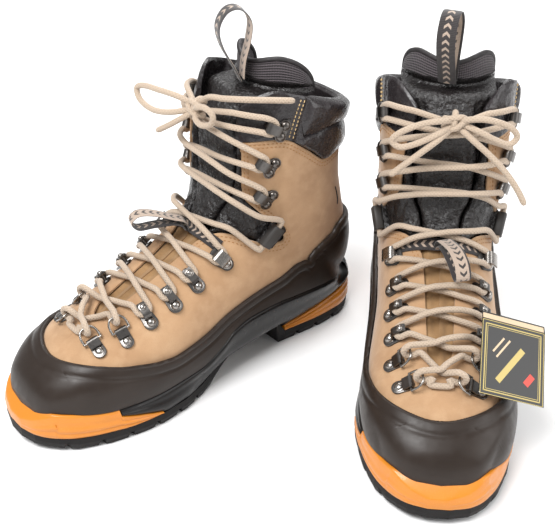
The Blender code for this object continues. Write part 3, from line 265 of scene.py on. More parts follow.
# ---------------------------------------------------------------- materials
class Finish:
    """A Principled material with short ways to add procedural detail in metres."""

    def __init__(self, name, colour, roughness, metallic=0.0, **sockets):
        self.material = bpy.data.materials.new(name)
        self.material.use_nodes = True
        self.tree = self.material.node_tree
        self.shader = self.tree.nodes["Principled BSDF"]
        self.colour = colour
        self.shader.inputs["Base Color"].default_value = (*colour, 1)
        self.shader.inputs["Roughness"].default_value = roughness
        self.shader.inputs["Metallic"].default_value = metallic
        for socket, value in sockets.items():
            name = socket.replace("_", " ").title().replace("Ior", "IOR")
            self.shader.inputs[name].default_value = value
        self.place = self.node("ShaderNodeTexCoord").outputs["Object"]
        self.last_bump = None

    def node(self, kind, **settings):
        made = self.tree.nodes.new(kind)
        for name, value in settings.items():
            setattr(made, name, value)
        return made

    def link(self, source, target):
        self.tree.links.new(source, target)

    def uv(self):
        """The piece's own UV, in metres: along it and across it."""
        split = self.node("ShaderNodeSeparateXYZ")
        source = self.node("ShaderNodeUVMap", uv_map="UVMap").outputs["UV"]
        self.link(source, split.inputs["Vector"])
        return split.outputs["X"], split.outputs["Y"]

    def noise(self, size, detail):
        """Noise whose blobs are about this many metres across."""
        made = self.node("ShaderNodeTexNoise")
        made.inputs["Scale"].default_value = 1.0 / size
        made.inputs["Detail"].default_value = detail
        self.link(self.place, made.inputs["Vector"])
        return made.outputs["Fac"]

    def cells(self, size):
        made = self.node("ShaderNodeTexVoronoi", feature="F1")
        made.inputs["Scale"].default_value = 1.0 / size
        self.link(self.place, made.inputs["Vector"])
        return made.outputs["Distance"]

    def spread(self, value, low, high, to_low=0.0, to_high=1.0):
        made = self.node("ShaderNodeMapRange")
        for name, number in (("From Min", low), ("From Max", high), ("To Min", to_low),
                             ("To Max", to_high)):
            made.inputs[name].default_value = number
        self.link(value, made.inputs["Value"])
        return made.outputs["Result"]

    def calc(self, a, b, operation="ADD"):
        """Result of one operation on two values, each a number or a socket."""
        made = self.node("ShaderNodeMath", operation=operation)
        for socket, value in zip(made.inputs, (a, b)):
            if isinstance(value, (int, float)):
                socket.default_value = value
            else:
                self.link(value, socket)
        return made.outputs["Value"]

    def turns(self, value, pitch):
        """An angle that goes round once for each pitch in metres."""
        return self.calc(value, 2 * math.pi / pitch, "MULTIPLY")

    def sine(self, angle):
        return self.calc(angle, 0.0, "SINE")

    def tint(self, value, other):
        """Mixes the present base colour towards another by a value."""
        made = self.node("ShaderNodeMix", data_type="RGBA")
        self.link(value, made.inputs["Factor"])
        base = self.shader.inputs["Base Color"]
        if base.links:
            self.link(base.links[0].from_socket, made.inputs["A"])
        else:
            made.inputs["A"].default_value = (*self.colour, 1)
        made.inputs["B"].default_value = (*other, 1)
        self.link(made.outputs["Result"], base)
        return self

    def rough(self, value, low, high):
        self.link(self.spread(value, 0.3, 0.7, low, high), self.shader.inputs["Roughness"])
        return self

    def bump(self, value, depth, strength=1.0):
        """Relief of this depth in metres, on top of what is already there."""
        made = self.node("ShaderNodeBump")
        made.inputs["Distance"].default_value = depth
        made.inputs["Strength"].default_value = strength
        self.link(value, made.inputs["Height"])
        if self.last_bump:
            self.link(self.last_bump, made.inputs["Normal"])
        self.last_bump = made.outputs["Normal"]
        self.link(self.last_bump, self.shader.inputs["Normal"])
        return self


def suede(name, colour, dark, light):
    made = Finish(name, colour, 0.9, sheen_weight=0.25, sheen_roughness=0.5)
    made.tint(made.spread(made.noise(0.022, 4), 0.35, 0.7), dark)
    made.tint(made.spread(made.noise(0.009, 5), 0.45, 0.75, 0.0, 0.6), light)
    made.tint(made.spread(made.noise(0.0007, 3), 0.5, 0.75, 0.0, 0.45), dark)
    made.bump(made.noise(0.004, 4), 0.0003, 0.5)
    return made.bump(made.noise(0.00055, 2), 0.00012, 0.7)


def rubber(name, colour, roughness, dusty, gloss=0.4):
    made = Finish(name, colour, roughness, specular_ior_level=gloss)
    made.tint(made.spread(made.noise(0.03, 4), 0.4, 0.75, 0.0, 0.5), dusty)
    made.rough(made.noise(0.006, 5), roughness - 0.05, roughness + 0.08)
    made.bump(made.noise(0.009, 3), 0.0002, 0.25)
    return made.bump(made.noise(0.0006, 2), 0.00004, 0.6)


def leather(name, colour, roughness, grain, wrinkle, depth):
    made = Finish(name, colour, roughness)
    creases = made.spread(made.noise(wrinkle, 6), 0.3, 0.7)
    made.tint(made.spread(made.noise(wrinkle * 1.5, 5), 0.5, 0.72, 0.0, 0.5),
              tuple(c * 2.1 for c in colour))
    made.rough(made.noise(0.004, 4), roughness - 0.1, roughness + 0.12)
    made.bump(creases, depth, 0.9)
    made.bump(made.noise(grain * 2.2, 3), depth * 0.35, 0.7)
    return made.bump(made.cells(grain), 0.00016, 0.6)


def foam(name, colour):
    made = Finish(name, colour, 0.38, coat_weight=0.15)
    made.tint(made.spread(made.noise(0.02, 3), 0.4, 0.8, 0.0, 0.6), (0.57, 0.18, 0.012))
    made.tint(made.spread(made.noise(0.0012, 2), 0.6, 0.8, 0.0, 0.25), (0.80, 0.38, 0.07))
    made.rough(made.noise(0.006, 4), 0.32, 0.44)
    return made.bump(made.noise(0.001, 2), 0.00003, 0.5)


def metal(name, colour, roughness):
    made = Finish(name, colour, roughness, metallic=1.0)
    stain = tuple(c * 0.35 for c in colour)
    made.tint(made.spread(made.noise(0.004, 5), 0.5, 0.75, 0.0, 0.35), stain)
    made.rough(made.noise(0.0012, 4), roughness - 0.06, roughness + 0.08)
    return made.bump(made.noise(0.0016, 4), 0.000015, 0.6)


def woven(name, colour, thread, across, along, depth):
    """Weave that follows a strip's own UV, in metres: u along it and v across; its low valleys are
    tinted darker as painted shade, and random blotches of the same colour are tone.
    """
    made = Finish(name, colour, 0.8, sheen_weight=0.2)
    x, y = made.uv()
    u, v = made.turns(x, along), made.turns(y, across)
    ridge = made.calc(made.sine(made.calc(u, v)), made.sine(made.calc(u, v, "SUBTRACT")), "MAXIMUM")
    # painted shade: the weave's low valleys are tinted towards the darker colour
    made.tint(made.spread(ridge, -0.2, 0.9, 0.65, 0.0), thread)
    made.tint(made.spread(made.noise(0.012, 3), 0.45, 0.8, 0.0, 0.35), thread)
    made.bump(ridge, depth, 0.8)
    return made.bump(made.noise(0.0005, 2), 0.00006, 0.5)


def ribbon_weave(name, colour, motif, width):
    """Ribbed webbing with a woven row of small plain chevrons down its middle."""
    made = Finish(name, colour, 0.75, sheen_weight=0.3)
    x, y = made.uv()
    across = made.calc(y, 0.0, "ABSOLUTE")
    ribs = made.sine(made.turns(x, 0.0011))
    slant = made.calc(x, made.calc(across, 0.9, "MULTIPLY"))
    wave = made.sine(made.turns(slant, 0.0052))
    inside = made.spread(across, width * 0.15, width * 0.17, 1.0, 0.0)
    made.tint(made.calc(made.spread(wave, 0.25, 0.45), inside, "MULTIPLY"), motif)
    made.bump(ribs, 0.00012, 0.7)
    return made.bump(made.noise(0.0004, 2), 0.00005, 0.5)


def mesh_cloth(name, colour, thread):
    """Ribbed spacer mesh: rows of small loops, by UV in metres; the hollows are tinted near-black
    as painted shade.
    """
    made = Finish(name, colour, 0.85, sheen_weight=0.2)
    x, y = made.uv()
    rows, loops = made.sine(made.turns(y, 0.0021)), made.sine(made.turns(x, 0.0014))
    relief = made.calc(rows, made.calc(loops, 0.35, "MULTIPLY"))
    # painted shade: the hollows between rows and loops are tinted near-black
    made.tint(made.spread(relief, -1.0, 0.3, 1.0, 0.0), thread)
    return made.bump(relief, 0.0004, 0.9)


def make_finishes():
    webbing_black, webbing_beige = (0.022, 0.017, 0.017), (0.40, 0.31, 0.245)
    return {
        "tan": suede("tan_suede", (0.45, 0.275, 0.148), (0.37, 0.215, 0.11), (0.51, 0.33, 0.19)),
        # darker copy of the tan suede for the tongue sunk in the slit: painted shade of the recess
        "tan_painted_shade": suede("tan_suede_painted_shade", (0.31, 0.18, 0.078), (0.22, 0.125, 0.052),
                           (0.42, 0.26, 0.125)),
        "rand": rubber("rand_rubber", (0.022, 0.015, 0.0115), 0.37, (0.034, 0.0245, 0.0195),
                       gloss=0.28),
        "sole": rubber("sole_rubber", (0.012, 0.011, 0.011), 0.6, (0.024, 0.021, 0.02), gloss=0.2),
        "midsole": rubber("midsole_rubber", (0.007, 0.006, 0.006), 0.3, (0.013, 0.011, 0.01),
                          gloss=0.3),
        "orange": foam("orange_foam", (0.62, 0.21, 0.014)),
        "padding": leather("padding_leather", (0.020, 0.0165, 0.0175), 0.26, 0.0011, 0.006, 0.0005),
        "crinkle": leather("crinkled_leather", (0.012, 0.010, 0.010), 0.25, 0.0012, 0.0032, 0.0009),
        "felt": leather("lining_felt", (0.075, 0.066, 0.066), 0.9, 0.0007, 0.004, 0.0003),
        # the near-black second colour is painted shade in the mesh's hollows
        "mesh": mesh_cloth("grey_mesh", (0.095, 0.078, 0.085), (0.022, 0.018, 0.02)),
        "binding": leather("black_binding", (0.018, 0.015, 0.016), 0.6, 0.0008, 0.003, 0.0002),
        "nickel": metal("nickel", (0.31, 0.29, 0.27), 0.26),
        "rivet": metal("rivet_metal", (0.13, 0.117, 0.108), 0.3),
        "gunmetal": metal("gunmetal", (0.13, 0.122, 0.116), 0.33),
        "sleeve": rubber("sleeve_rubber", (0.035, 0.032, 0.030), 0.5, (0.055, 0.05, 0.046)),
        # the cord's second colour: painted shade in the weave's valleys, and random darker tone
        "cord": woven("beige_cord", (0.475, 0.375, 0.285), (0.385, 0.295, 0.215), 0.0026, 0.0024,
                      0.0002),
        "webbing": ribbon_weave("black_webbing", webbing_black, webbing_beige, 0.015),
        "webbing_back": ribbon_weave("beige_webbing", webbing_beige, (0.03, 0.024, 0.022), 0.015),
        "thread_tan": Finish("tan_thread", (0.33, 0.165, 0.055), 0.7),
        "thread_beige": Finish("beige_thread", (0.56, 0.39, 0.19), 0.7),
        "thread_black": Finish("black_thread", (0.012, 0.010, 0.010), 0.6),
        "card": Finish("black_card", (0.014, 0.0135, 0.013), 0.35),
        "gold": Finish("gold_print", (0.50, 0.39, 0.13), 0.45),
        "page": Finish("page_edges", (0.64, 0.49, 0.33), 0.8),
        "red_print": Finish("red_print", (0.62, 0.07, 0.05), 0.5),
    }


# ---------------------------------------------------------------- mesh helpers
def circle(sides):
    """(cosine, sine) of points at even steps around a circle."""
    angles = [2 * math.pi * k / sides for k in range(sides)]
    return [(math.cos(a), math.sin(a)) for a in angles]


def sheet(rows, columns, point):
    """Outer and inner grid of a shell; point gives the points of both at one place of it."""
    outer, inner = [], []
    for a in rows:
        pairs = [point(a, b) for b in columns(a)]
        outer.append([p for p, _ in pairs])
        inner.append([q for _, q in pairs])
    return outer, inner


def thick(patches, weld=0.05):
    """Closed shell from patches of (outer grid, inner grid); touching borders are joined."""
    index, outer, inner, faces = {}, [], [], []
    for grid_out, grid_in in patches:
        ids = []
        for row_out, row_in in zip(grid_out, grid_in):
            line = []
            for p, q in zip(row_out, row_in):
                key = tuple(round(c / weld) for c in p)
                if key not in index:
                    index[key] = len(outer)
                    outer.append(p)
                    inner.append(q)
                line.append(index[key])
            ids.append(line)
        for upper, lower in zip(ids, ids[1:]):
            for i in range(len(upper) - 1):
                quad = (upper[i], upper[i + 1], lower[i + 1], lower[i])
                face = tuple(dict.fromkeys(quad))
                if len(face) > 2:
                    faces.append(face)
    edges = {}
    for face in faces:
        for a, b in zip(face, face[1:] + face[:1]):
            key = (min(a, b), max(a, b))
            edges[key] = None if key in edges else (a, b)
    n = len(outer)
    walls = [(b, a, a + n, b + n) for edge in edges.values() if edge for a, b in [edge]]
    back = [tuple(v + n for v in reversed(face)) for face in faces]
    return outer + inner, faces + walls + back


def loft(rings, closed=False):
    """Solid through rings of equal length; its ends are capped unless it closes on itself."""
    n, count = len(rings[0]), len(rings)
    verts = [p for ring in rings for p in ring]
    spans = count if closed else count - 1
    faces = [(a * n + i, a * n + (i + 1) % n, (a + 1) % count * n + (i + 1) % n,
              (a + 1) % count * n + i) for a in range(spans) for i in range(n)]
    if not closed:
        faces.append(tuple(range(n))[::-1])
        faces.append(tuple(range((count - 1) * n, count * n)))
    return verts, faces


def joined(bodies):
    """Several bodies as one list of points and one of faces."""
    verts, faces = [], []
    for body_verts, body_faces in bodies:
        start = len(verts)
        verts += body_verts
        faces += [tuple(v + start for v in face) for face in body_faces]
    return verts, faces


def smooth_path(points, count):
    """Catmull-Rom curve through points, read at equal steps."""
    pts = [Vector(p) for p in points]
    result = []
    for k in range(count + 1):
        place = k / count * (len(pts) - 1)
        i = min(int(place), len(pts) - 2)
        f = place - i
        a, b, c, d = pts[max(i - 1, 0)], pts[i], pts[i + 1], pts[min(i + 2, len(pts) - 1)]
        result.append(0.5 * (2 * b + (c - a) * f + (2 * a - 5 * b + 4 * c - d) * f * f
                             + (3 * b - a - 3 * c + d) * f ** 3))
    return result


def even(points, pitch):
    """The same line with points at equal distances along it."""
    lengths = [0.0]
    for a, b in zip(points, points[1:]):
        lengths.append(lengths[-1] + (b - a).length)
    count = max(2, round(lengths[-1] / pitch))
    result, i = [], 0
    for k in range(count + 1):
        target = lengths[-1] * k / count
        while i < len(points) - 2 and lengths[i + 1] < target:
            i += 1
        span = max(lengths[i + 1] - lengths[i], 1e-9)
        result.append(points[i].lerp(points[i + 1], min(1.0, (target - lengths[i]) / span)))
    return result


def carried(path, up):
    """Directions across and up along a path, turning no more than the path does."""
    frames = []
    for i, _ in enumerate(path):
        ahead = (path[min(i + 1, len(path) - 1)] - path[max(i - 1, 0)]).normalized()
        up = up - ahead * up.dot(ahead)
        up.normalize()
        frames.append((ahead.cross(up), up.copy()))
    return frames


def add_object(name, data):
    obj = bpy.data.objects.new(name, data)
    bpy.context.scene.collection.objects.link(obj)
    return obj


def add_bevel(obj, width, segments, angle):
    """Rounds the edges that are sharper than an angle in degrees; the width is in mm."""
    edge = obj.modifiers.new("edge", "BEVEL")
    edge.width = width * MM
    edge.segments = segments
    edge.limit_method = "ANGLE"
    edge.angle_limit = math.radians(angle)
    return edge


class Boot:
    """One boot: its side, its place, and what turns its millimetres into pieces."""

    def __init__(self, name, side, place):
        self.name, self.side, self.place = name, side, place
        turn = math.radians(place[2])
        self.cos, self.sin = math.cos(turn), math.sin(turn)

    def world(self, p):
        """Place in the row frame, in metres, of a point in the boot's millimetres."""
        x, y = self.side * p[0], p[1]
        return Vector((self.place[0] + (x * self.cos - y * self.sin) * MM,
                       self.place[1] + (x * self.sin + y * self.cos) * MM, p[2] * MM))

    def piece(self, part, body, finish, slot, rides="boot", stands_for=(), uvs=None, second=None,
              sharp=50, bevel=0.0):
        """A mesh piece; second is (finish, test of a face's index) for a part of its faces."""
        verts, faces = body
        data = bpy.data.meshes.new(f"{self.name}_{part}")
        data.from_pydata([self.world(v) for v in verts], [], faces)
        data.materials.append(FINISHES[finish].material)
        if uvs:
            layer = data.uv_layers.new(name="UVMap")
            flat = [c for face in uvs for uv in face for c in uv]
            layer.data.foreach_set("uv", flat)
        if second:
            data.materials.append(FINISHES[second[0]].material)
            for polygon in data.polygons:
                polygon.material_index = int(second[1](polygon.index))
        bm = bmesh.new()
        bm.from_mesh(data)
        bmesh.ops.remove_doubles(bm, verts=bm.verts, dist=2e-6)
        bmesh.ops.recalc_face_normals(bm, faces=bm.faces)
        bm.to_mesh(data)
        bm.free()
        data.shade_smooth()
        data.set_sharp_from_angle(angle=math.radians(sharp))
        obj = add_object(data.name, data)
        if bevel:
            add_bevel(obj, bevel, 3, 35).harden_normals = True
        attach(obj, rides if rides == "hang_tag" else f"{self.name}_{rides}")
        if stands_for:
            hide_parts(*[f"{self.name}_{node}" for node in stands_for])
        return obj


def tube(path, radius, sides=12):
    """Round tube along a path, with UVs in metres: u along it, v around it."""
    frames = carried(path, Vector((0.1, 0.2, 1.0)))
    length, rings, along = 0.0, [], []
    for i, p in enumerate(path):
        length += (p - path[i - 1]).length if i else 0.0
        across, up = frames[i]
        end = min(i, len(path) - 1 - i)
        grown = radius * (0.55, 0.9, 1.0)[min(end, 2)]
        rings.append([p + (across * a + up * b) * grown for a, b in circle(sides)])
        along.append(length * MM)
    verts, faces = loft(rings)
    turn = 2 * math.pi * radius * MM / sides
    uvs = [((along[a], i * turn), (along[a], (i + 1) * turn), (along[a + 1], (i + 1) * turn),
            (along[a + 1], i * turn)) for a in range(len(path) - 1) for i in range(sides)]
    uvs += [((0, 0),) * sides, ((0, 0),) * sides]
    return (verts, faces), uvs


def ring_tube(path, radius):
    """Closed loop of round wire."""
    rings = []
    n = len(path)
    middle = sum(path, Vector()) / n
    plane = (path[1] - path[0]).cross(path[n // 2] - path[0]).normalized()
    for i, p in enumerate(path):
        ahead = (path[(i + 1) % n] - path[i - 1]).normalized()
        out = ahead.cross(plane).normalized()
        out = out if out.dot(p - middle) > 0 else -out
        rings.append([p + (out * a + plane * b) * radius for a, b in circle(12)])
    return loft(rings, closed=True)


def strip(path, wide, width, thickness):
    """Soft flat strip along a path, with rounded edges and UVs in metres from its middle."""
    wide = wide.normalized()
    rings, along, length = [], [], 0.0
    profile = [(f, 0.5 * min(1.0, 0.35 + 9 * (0.5 - abs(f)))) for f in steps(-0.5, 0.5, 8)]
    profile += [(f, -h) for f, h in reversed(profile)]
    for i, p in enumerate(path):
        ahead = (path[min(i + 1, len(path) - 1)] - path[max(i - 1, 0)]).normalized()
        up = ahead.cross(wide).normalized()
        length += (p - path[i - 1]).length if i else 0.0
        along.append(length * MM)
        rings.append([p + wide * f * width + up * h * thickness for f, h in profile])
    verts, faces = loft(rings)
    n = len(profile)
    uvs = []
    for a in range(len(path) - 1):
        for i in range(n):
            v0, v1 = profile[i][0] * width * MM, profile[(i + 1) % n][0] * width * MM
            uvs.append(((along[a], v0), (along[a], v1), (along[a + 1], v1), (along[a + 1], v0)))
    uvs += [((0, 0),) * n, ((0, 0),) * n]
    return (verts, faces), uvs, n


# ---------------------------------------------------------------- edges and stitches
def grid_steps(s, t):
    """How many millimetres the last's surface goes for one unit of s and of t."""
    s0, s1, t0, t1 = max(s - 0.01, 0.0), min(s + 0.01, 1.0), t - 0.01, min(t + 0.01, 1.0)
    return (skin(s1, t) - skin(s0, t)) / (s1 - s0), (skin(s, t1) - skin(s, t0)) / (t1 - t0)


def beside(line, distance):
    """The (s, t) line at a distance in mm to the side of another one, on its left going on."""
    result = []
    for i, (s, t) in enumerate(line):
        along, around = grid_steps(s, t)
        a, b = line[max(i - 1, 0)], line[min(i + 1, len(line) - 1)]
        ahead = along * (b[0] - a[0]) + around * (b[1] - a[1])
        to_side = normal(s, t).cross(ahead).normalized() * distance
        aa, bb, ab = along.dot(along), around.dot(around), along.dot(around)
        pa, pb = to_side.dot(along), to_side.dot(around)
        size = aa * bb - ab * ab
        result.append((s + (pa * bb - pb * ab) / size, t + (pb * aa - pa * ab) / size))
    return result


def nearest(points):
    """Finder of the nearest of these points."""
    tree = kdtree.KDTree(len(points))
    for i, p in enumerate(points):
        tree.insert(p, i)
    tree.balance()
    return tree


def stitch_row(line, height, pitch=3.1, long=2.1, radius=0.36):
    """Small thread bodies laid at even steps on the last along a line of (s, t)."""
    points = [over(s, t, height) for s, t in line]
    ups = [normal(s, t) for s, t in line]
    return stitches_along(points, ups, pitch, long, radius)


def stitches_along(points, ups, pitch, long, radius):
    """Thread bodies along a line of points; each lies flat across the nearest point's up."""
    bodies = []
    tree = nearest(points)
    steady = even(points, pitch)
    for a, b in zip(steady, steady[1:]):
        middle, ahead = (a + b) / 2, (b - a).normalized()
        up = ups[tree.find(middle)[1]]
        up = (up - ahead * up.dot(ahead)).normalized()
        across = ahead.cross(up)
        rings = []
        for f, r, sink in ((-0.5, 0.35, 0.45), (-0.28, 0.95, 0.1), (0.0, 1.0, 0.0),
                           (0.28, 0.95, 0.1), (0.5, 0.35, 0.45)):
            centre = middle + ahead * f * long - up * sink
            rings.append([centre + (across * a + up * b) * radius * r for a, b in circle(6)])
        bodies.append(loft(rings))
    return joined(bodies)


def edge_tree(line, side):
    """Finder of the nearest point of an edge line on the last, for distances in mm."""
    dense = []
    for (s0, t0), (s1, t1) in zip(line, line[1:]):
        count = max(1, int((skin(s1, t1) - skin(s0, t0)).length / 0.8))
        dense += [over(s0 + (s1 - s0) * k / count, side * (t0 + (t1 - t0) * k / count))
                  for k in range(count)]
    return nearest(dense)


def ripple(p, size, seed=0.0):
    """Smooth noise from -1 to 1 with swells about this many mm across."""
    return noise.noise(Vector((p[0] / size + seed, p[1] / size, p[2] / size)))


FRONT_LINE = tuple((s, curve(TAN_FRONT, s)) for s in steps(0.262, 0.5, 40)
                   + steps(0.503, 0.72, 120) + steps(0.73, 0.85, 16))
TOP_LINE = tuple((curve(TAN_TOP, t), t) for t in steps(0.15, 1.0, 90))
RAND_LINE = tuple((s, curve(RAND_TOP, s)) for s in steps(0.132, 0.14, 24) + steps(0.141, 0.2, 50)
                  + steps(0.205, 0.81, 160))


def tan_corner():
    """The tab's front edge runs up to the top edge; both meet at this (s, t)."""
    return (curve(TAN_TOP, 0.15), 0.15)


# ---------------------------------------------------------------- upper pieces
def sew_dip(d):
    """Depth of the leather pulled down by a double row of stitches, d mm from the edge."""
    rows = sum(hump(d, row, 0.7) for row in STITCH_ROWS)
    return 0.3 * rows + 1.1 * max(0.0, 1 - d / 1.3) ** 2


def make_upper(boot):
    """Suede vamp and quarters, with turned edges, sewn rows and a few soft creases."""
    rows = steps(0.03, 0.25, 30) + steps(0.256, 0.512, 44)[1:] + steps(0.515, 0.712, 78) \
        + steps(0.716, 0.812, 24) + steps(0.816, 1.0, 34)
    full = 0.815                            # above this s the rows bend towards the top edge

    def columns(a):
        start = curve(TAN_FRONT, min(a, TAB_END))
        edge = max(min(curve(RAND_TOP, a) + 0.012, 1.0), start) if a < 0.69 else 0.56
        return [start + (edge - start) * (j / 16) ** 1.25 for j in range(17)] \
            + [edge + (1 - edge) * j / 9 for j in range(1, 10)]
    patches = []
    for side in SIDES:
        front = edge_tree(FRONT_LINE + (tan_corner(),), side)
        top = edge_tree(TOP_LINE, side)

        def point(a, t):
            s = a if a < full else full + (curve(TAN_TOP, t) - full) * (a - full) / (1 - full)
            base = skin(s, side * t)
            d = min(front.find(base)[2], top.find(base)[2])
            rise = 0.35 * ripple(base, 17, side * 3) * ease((d - 3) / 12)
            flex = hump(s, 0.60, 0.05) * hump(t, 0.72, 0.12) \
                + hump(s, 0.3, 0.05) * hump(t, 0.3, 0.3)
            rise += 0.7 * flex * ripple(Vector((base.x, base.y * 2.2, base.z * 1.2)), 9, 5)
            rise -= sew_dip(d)
            drop = ease((t - curve(RAND_TOP, s) - 0.006) / 0.02) * ease((0.812 - s) / 0.01)
            return over(s, side * t, rise - drop), over(s, side * t, -2.0 - drop)
        patches.append(sheet(rows, columns, point))
    boot.piece("suede_upper", thick(patches), "tan", "tan_suede", stands_for=("upper",))


def rand_height(d):
    """Height of the rand's surface d mm below its top edge: rolled edge, band, groove, body."""
    edge = -1.7 * max(0.0, 1 - d / 1.6) ** 2
    band = 0.25 * hump(d, 3.2, 2.6)
    groove = -0.75 * hump(d, BAND + 0.9, 1.0)
    return RAND_OUTER + edge + band + groove + 0.35 * ease((d - BAND - 1) / 9)


def make_rand(boot):
    """Rubber rand with a raised band along its top edge."""
    rows = steps(0.0, 0.125, 26) + [0.128, 0.130, 0.132, 0.1322, 0.1326, 0.1332, 0.134, 0.135,
                                    0.1362, 0.1376, 0.139] + steps(0.1405, 0.2, 34) \
        + steps(0.205, 0.58, 84) + steps(0.584, 0.78, 66) + steps(0.782, 0.81, 14)
    patches = []
    for side in SIDES:
        top_edge = edge_tree(RAND_LINE, side)
        grids = []
        for outer in (True, False):
            tip = RAND_OUTER if outer else RAND_INNER
            start = TOE_TIP - Vector((0, tip, 0))
            grid = [[bumper(start, side) if outer else start] * 25]
            for s in rows:
                top = curve(RAND_TOP, s)
                low = max(t_at_welt(s, side, RAND_OUTER, 0.5), top)
                line = []
                for j in range(25):
                    t = side * (top + (low - top) * (j / 24) ** 1.3)
                    if outer:
                        d = top_edge.find(skin(s, t))[2]
                        line.append(bumper(over(s, t, rand_height(d)), side))
                    else:
                        line.append(over(s, t, RAND_INNER))
                grid.append(line)
            grids.append(grid)
        patches.append(grids)
    boot.piece("rubber_rand", thick(patches), "rand", "rand_rubber", stands_for=("rand",))


def ledge_top(y):
    """Height of the orange ledge in front of the toe."""
    return 31.0 - 9.5 * (max(0.0, -131.5 - y) / 14.0) ** 1.4


def toe_part(y):
    """How much of the toe's shape applies at y: 1 at the tip and 0 behind the toe box."""
    return ease((-86 - y) / 34)


def bumper(p, side):
    """Moves a point of the rand, which flares out round the toe almost to the sole's edge."""
    up = p.z - curve(WELT, p.y)
    share = toe_part(p.y) * (1 - ease(up / 34))
    if share < 0.001:
        return p
    out = Vector((p.x + 3, p.y + 92, 0)).normalized()

    def inside(q):
        """Still within the sole's outline, drawn in by a few mm."""
        y = -92 + (q.y + 92) * 1.09
        return y > -145.8 and abs(q.x) * 1.09 < sole_edge(y, side)
    room, beyond = 0.0, 24.0
    for _ in range(11):
        middle = (room + beyond) / 2
        if inside(p + out * middle):
            room = middle
        else:
            beyond = middle
    moved = p + out * 9 * math.tanh(room / 9) * share
    fall = share ** 2 * max(0.0, curve(WELT, p.y) - ledge_top(moved.y) + 0.4)
    return moved - Vector((0, 0, fall))


def crinkle(p, amount, seed=0.0):
    """Uneven folds of soft leather."""
    folds = ripple(Vector((p[0] * 1.5, p[1] * 1.5, p[2] * 0.8)), 7.0, seed)
    fine = ripple(p, 2.6, seed + 7)
    return amount * (0.85 * folds + 0.10 * fine - 0.3 * abs(ripple(p, 5.0, seed + 2)))


def make_lining(boot):
    """Soft leather lining: a crinkled lobe on each side of the tongue, smooth inside."""
    rows = steps(0.56, 0.7, 46) + steps(0.705, 0.84, 34) + steps(0.85, 1.0, 12)

    def columns(a):
        end = 0.94 if a < 0.72 else 1.0
        return [LOBE_START + (end - LOBE_START) * f
                for f in steps(0.0, 0.42, 34) + steps(0.44, 1.0, 26)]
    patches = []
    for side in SIDES:
        def point(a, t):
            s = a if a <= 0.84 else 0.84 + (max(0.85, curve(TAN_TOP, t) - 0.012) - 0.84) \
                * (a - 0.84) / 0.16
            wide = max(curve(TAN_FRONT, min(a, TAB_END)) - LOBE_START, 0.03)
            x = (t - LOBE_START) / wide
            lobe = math.sin(math.pi * min(max(x, 0.0), 1.0)) ** 0.55 if x < 1 else 0.0
            back = 1.2 * ease((t - 0.46) / 0.08) * (1 - ease((a - 0.78) / 0.05))
            rise = (3.1 * lobe + crinkle(skin(s, side * t), 1.25, side) * lobe)
            return (over(s, side * t, LINING_OUTER - back + rise),
                    over(s, side * t, LINING_INNER - back))
        patches.append(sheet(rows, columns, point))
    boot.piece("ankle_lining", thick(patches), "crinkle", "black_leather",
               stands_for=("lining",))


def make_collar(boot):
    """Collar: flat flaps in front with a sewn seam, two padded rolls around the back."""
    groove = ((0.44, 0.915), (0.48, 0.93), (0.56, 0.952), (0.65, 0.962), (1.0, 0.965))
    flap_top = ((0.12, 0.935), (0.17, 0.962), (0.27, 0.995), (0.3, 1.0))
    ts = steps(0.125, 0.42, 26) + steps(0.43, 0.5, 12) + steps(0.51, 1.0, 44)
    patches = []
    for side in SIDES:
        def point(a, t):
            bottom = curve(TAN_TOP, t) + 0.002
            top = curve(flap_top, t)
            middle = max(curve(groove, t), bottom + 0.01)
            padded = ease((t - FLAP_SEAM) / 0.03)
            s_low = bottom + (middle - bottom) * a * 2
            s_pad = s_low if a < 0.5 else middle + (top - middle) * (a * 2 - 1)
            s_flap = bottom + (top - bottom) * a
            s = s_flap + (s_pad - s_flap) * padded
            base = skin(s, side * t)
            f = (a * 2) % 1 if a < 1 else 1.0
            roll = 0.6 + 3.3 * math.sin(math.pi * min(f, 0.999)) ** 0.62
            flat = Vector((base.x, base.y, base.z * 0.3))
            roll += 0.5 * ripple(flat, 11) * math.sin(math.pi * f)
            rounded = -3.6 * max(0.0, a - 0.86) ** 2 / 0.0196
            flap = 0.55 + crinkle(base, 0.45) * ease(a / 0.1) * ease((1 - a) / 0.1) \
                - 0.8 * max(0.0, a - 0.93) / 0.07
            seam = -0.5 * hump(t, FLAP_SEAM, 0.006)
            height = flap * (1 - padded) + (roll + rounded) * padded + seam
            turned_in = ease((0.08 - a) / 0.08) + ease((a - 0.9) / 0.1)
            inner = -3.0 * (1 - padded) - 8.0 * padded
            inner += (0.8 * (1 - padded) + 2.2 * padded) * turned_in
            return over(s, side * t, height), over(s, side * t, inner)
        patches.append(sheet(steps(0.0, 1.0, 44), lambda a: ts, point))
    obj = boot.piece("padded_collar", thick(patches), "padding", "black_leather",
                     stands_for=("collar",))


def make_tongue_lower(boot):
    """Suede tongue seen in the slit between the quarters, with long soft folds, in a darker suede
    that is painted shade of the slit.
    """
    patches = []
    for side in SIDES:
        def point(s, t):
            base = skin(s, side * t)
            fold = 1.1 * math.sin(t * 58 + side * 0.6 + 6 * s) * ease((0.16 - t) / 0.05)
            fold += 0.6 * ripple(Vector((base.x * 1.6, base.y * 0.5, 0)), 8, 2)
            return over(s, side * t, -3.9 + fold * 0.75), over(s, side * t, -5.8)
        patches.append(sheet(steps(0.235, 0.552, 60), lambda s: steps(0.0, 0.2, 14), point))
    # the darker suede here is painted shade inside the slit
    boot.piece("suede_tongue", thick(patches), "tan_painted_shade", "tan_suede",
               stands_for=("tongue_lower",))


TONGUE_WIDTH = ((0.585, 0.1), (0.8, 0.12), (0.87, 0.2), (0.93, 0.27), (0.99, 0.3))


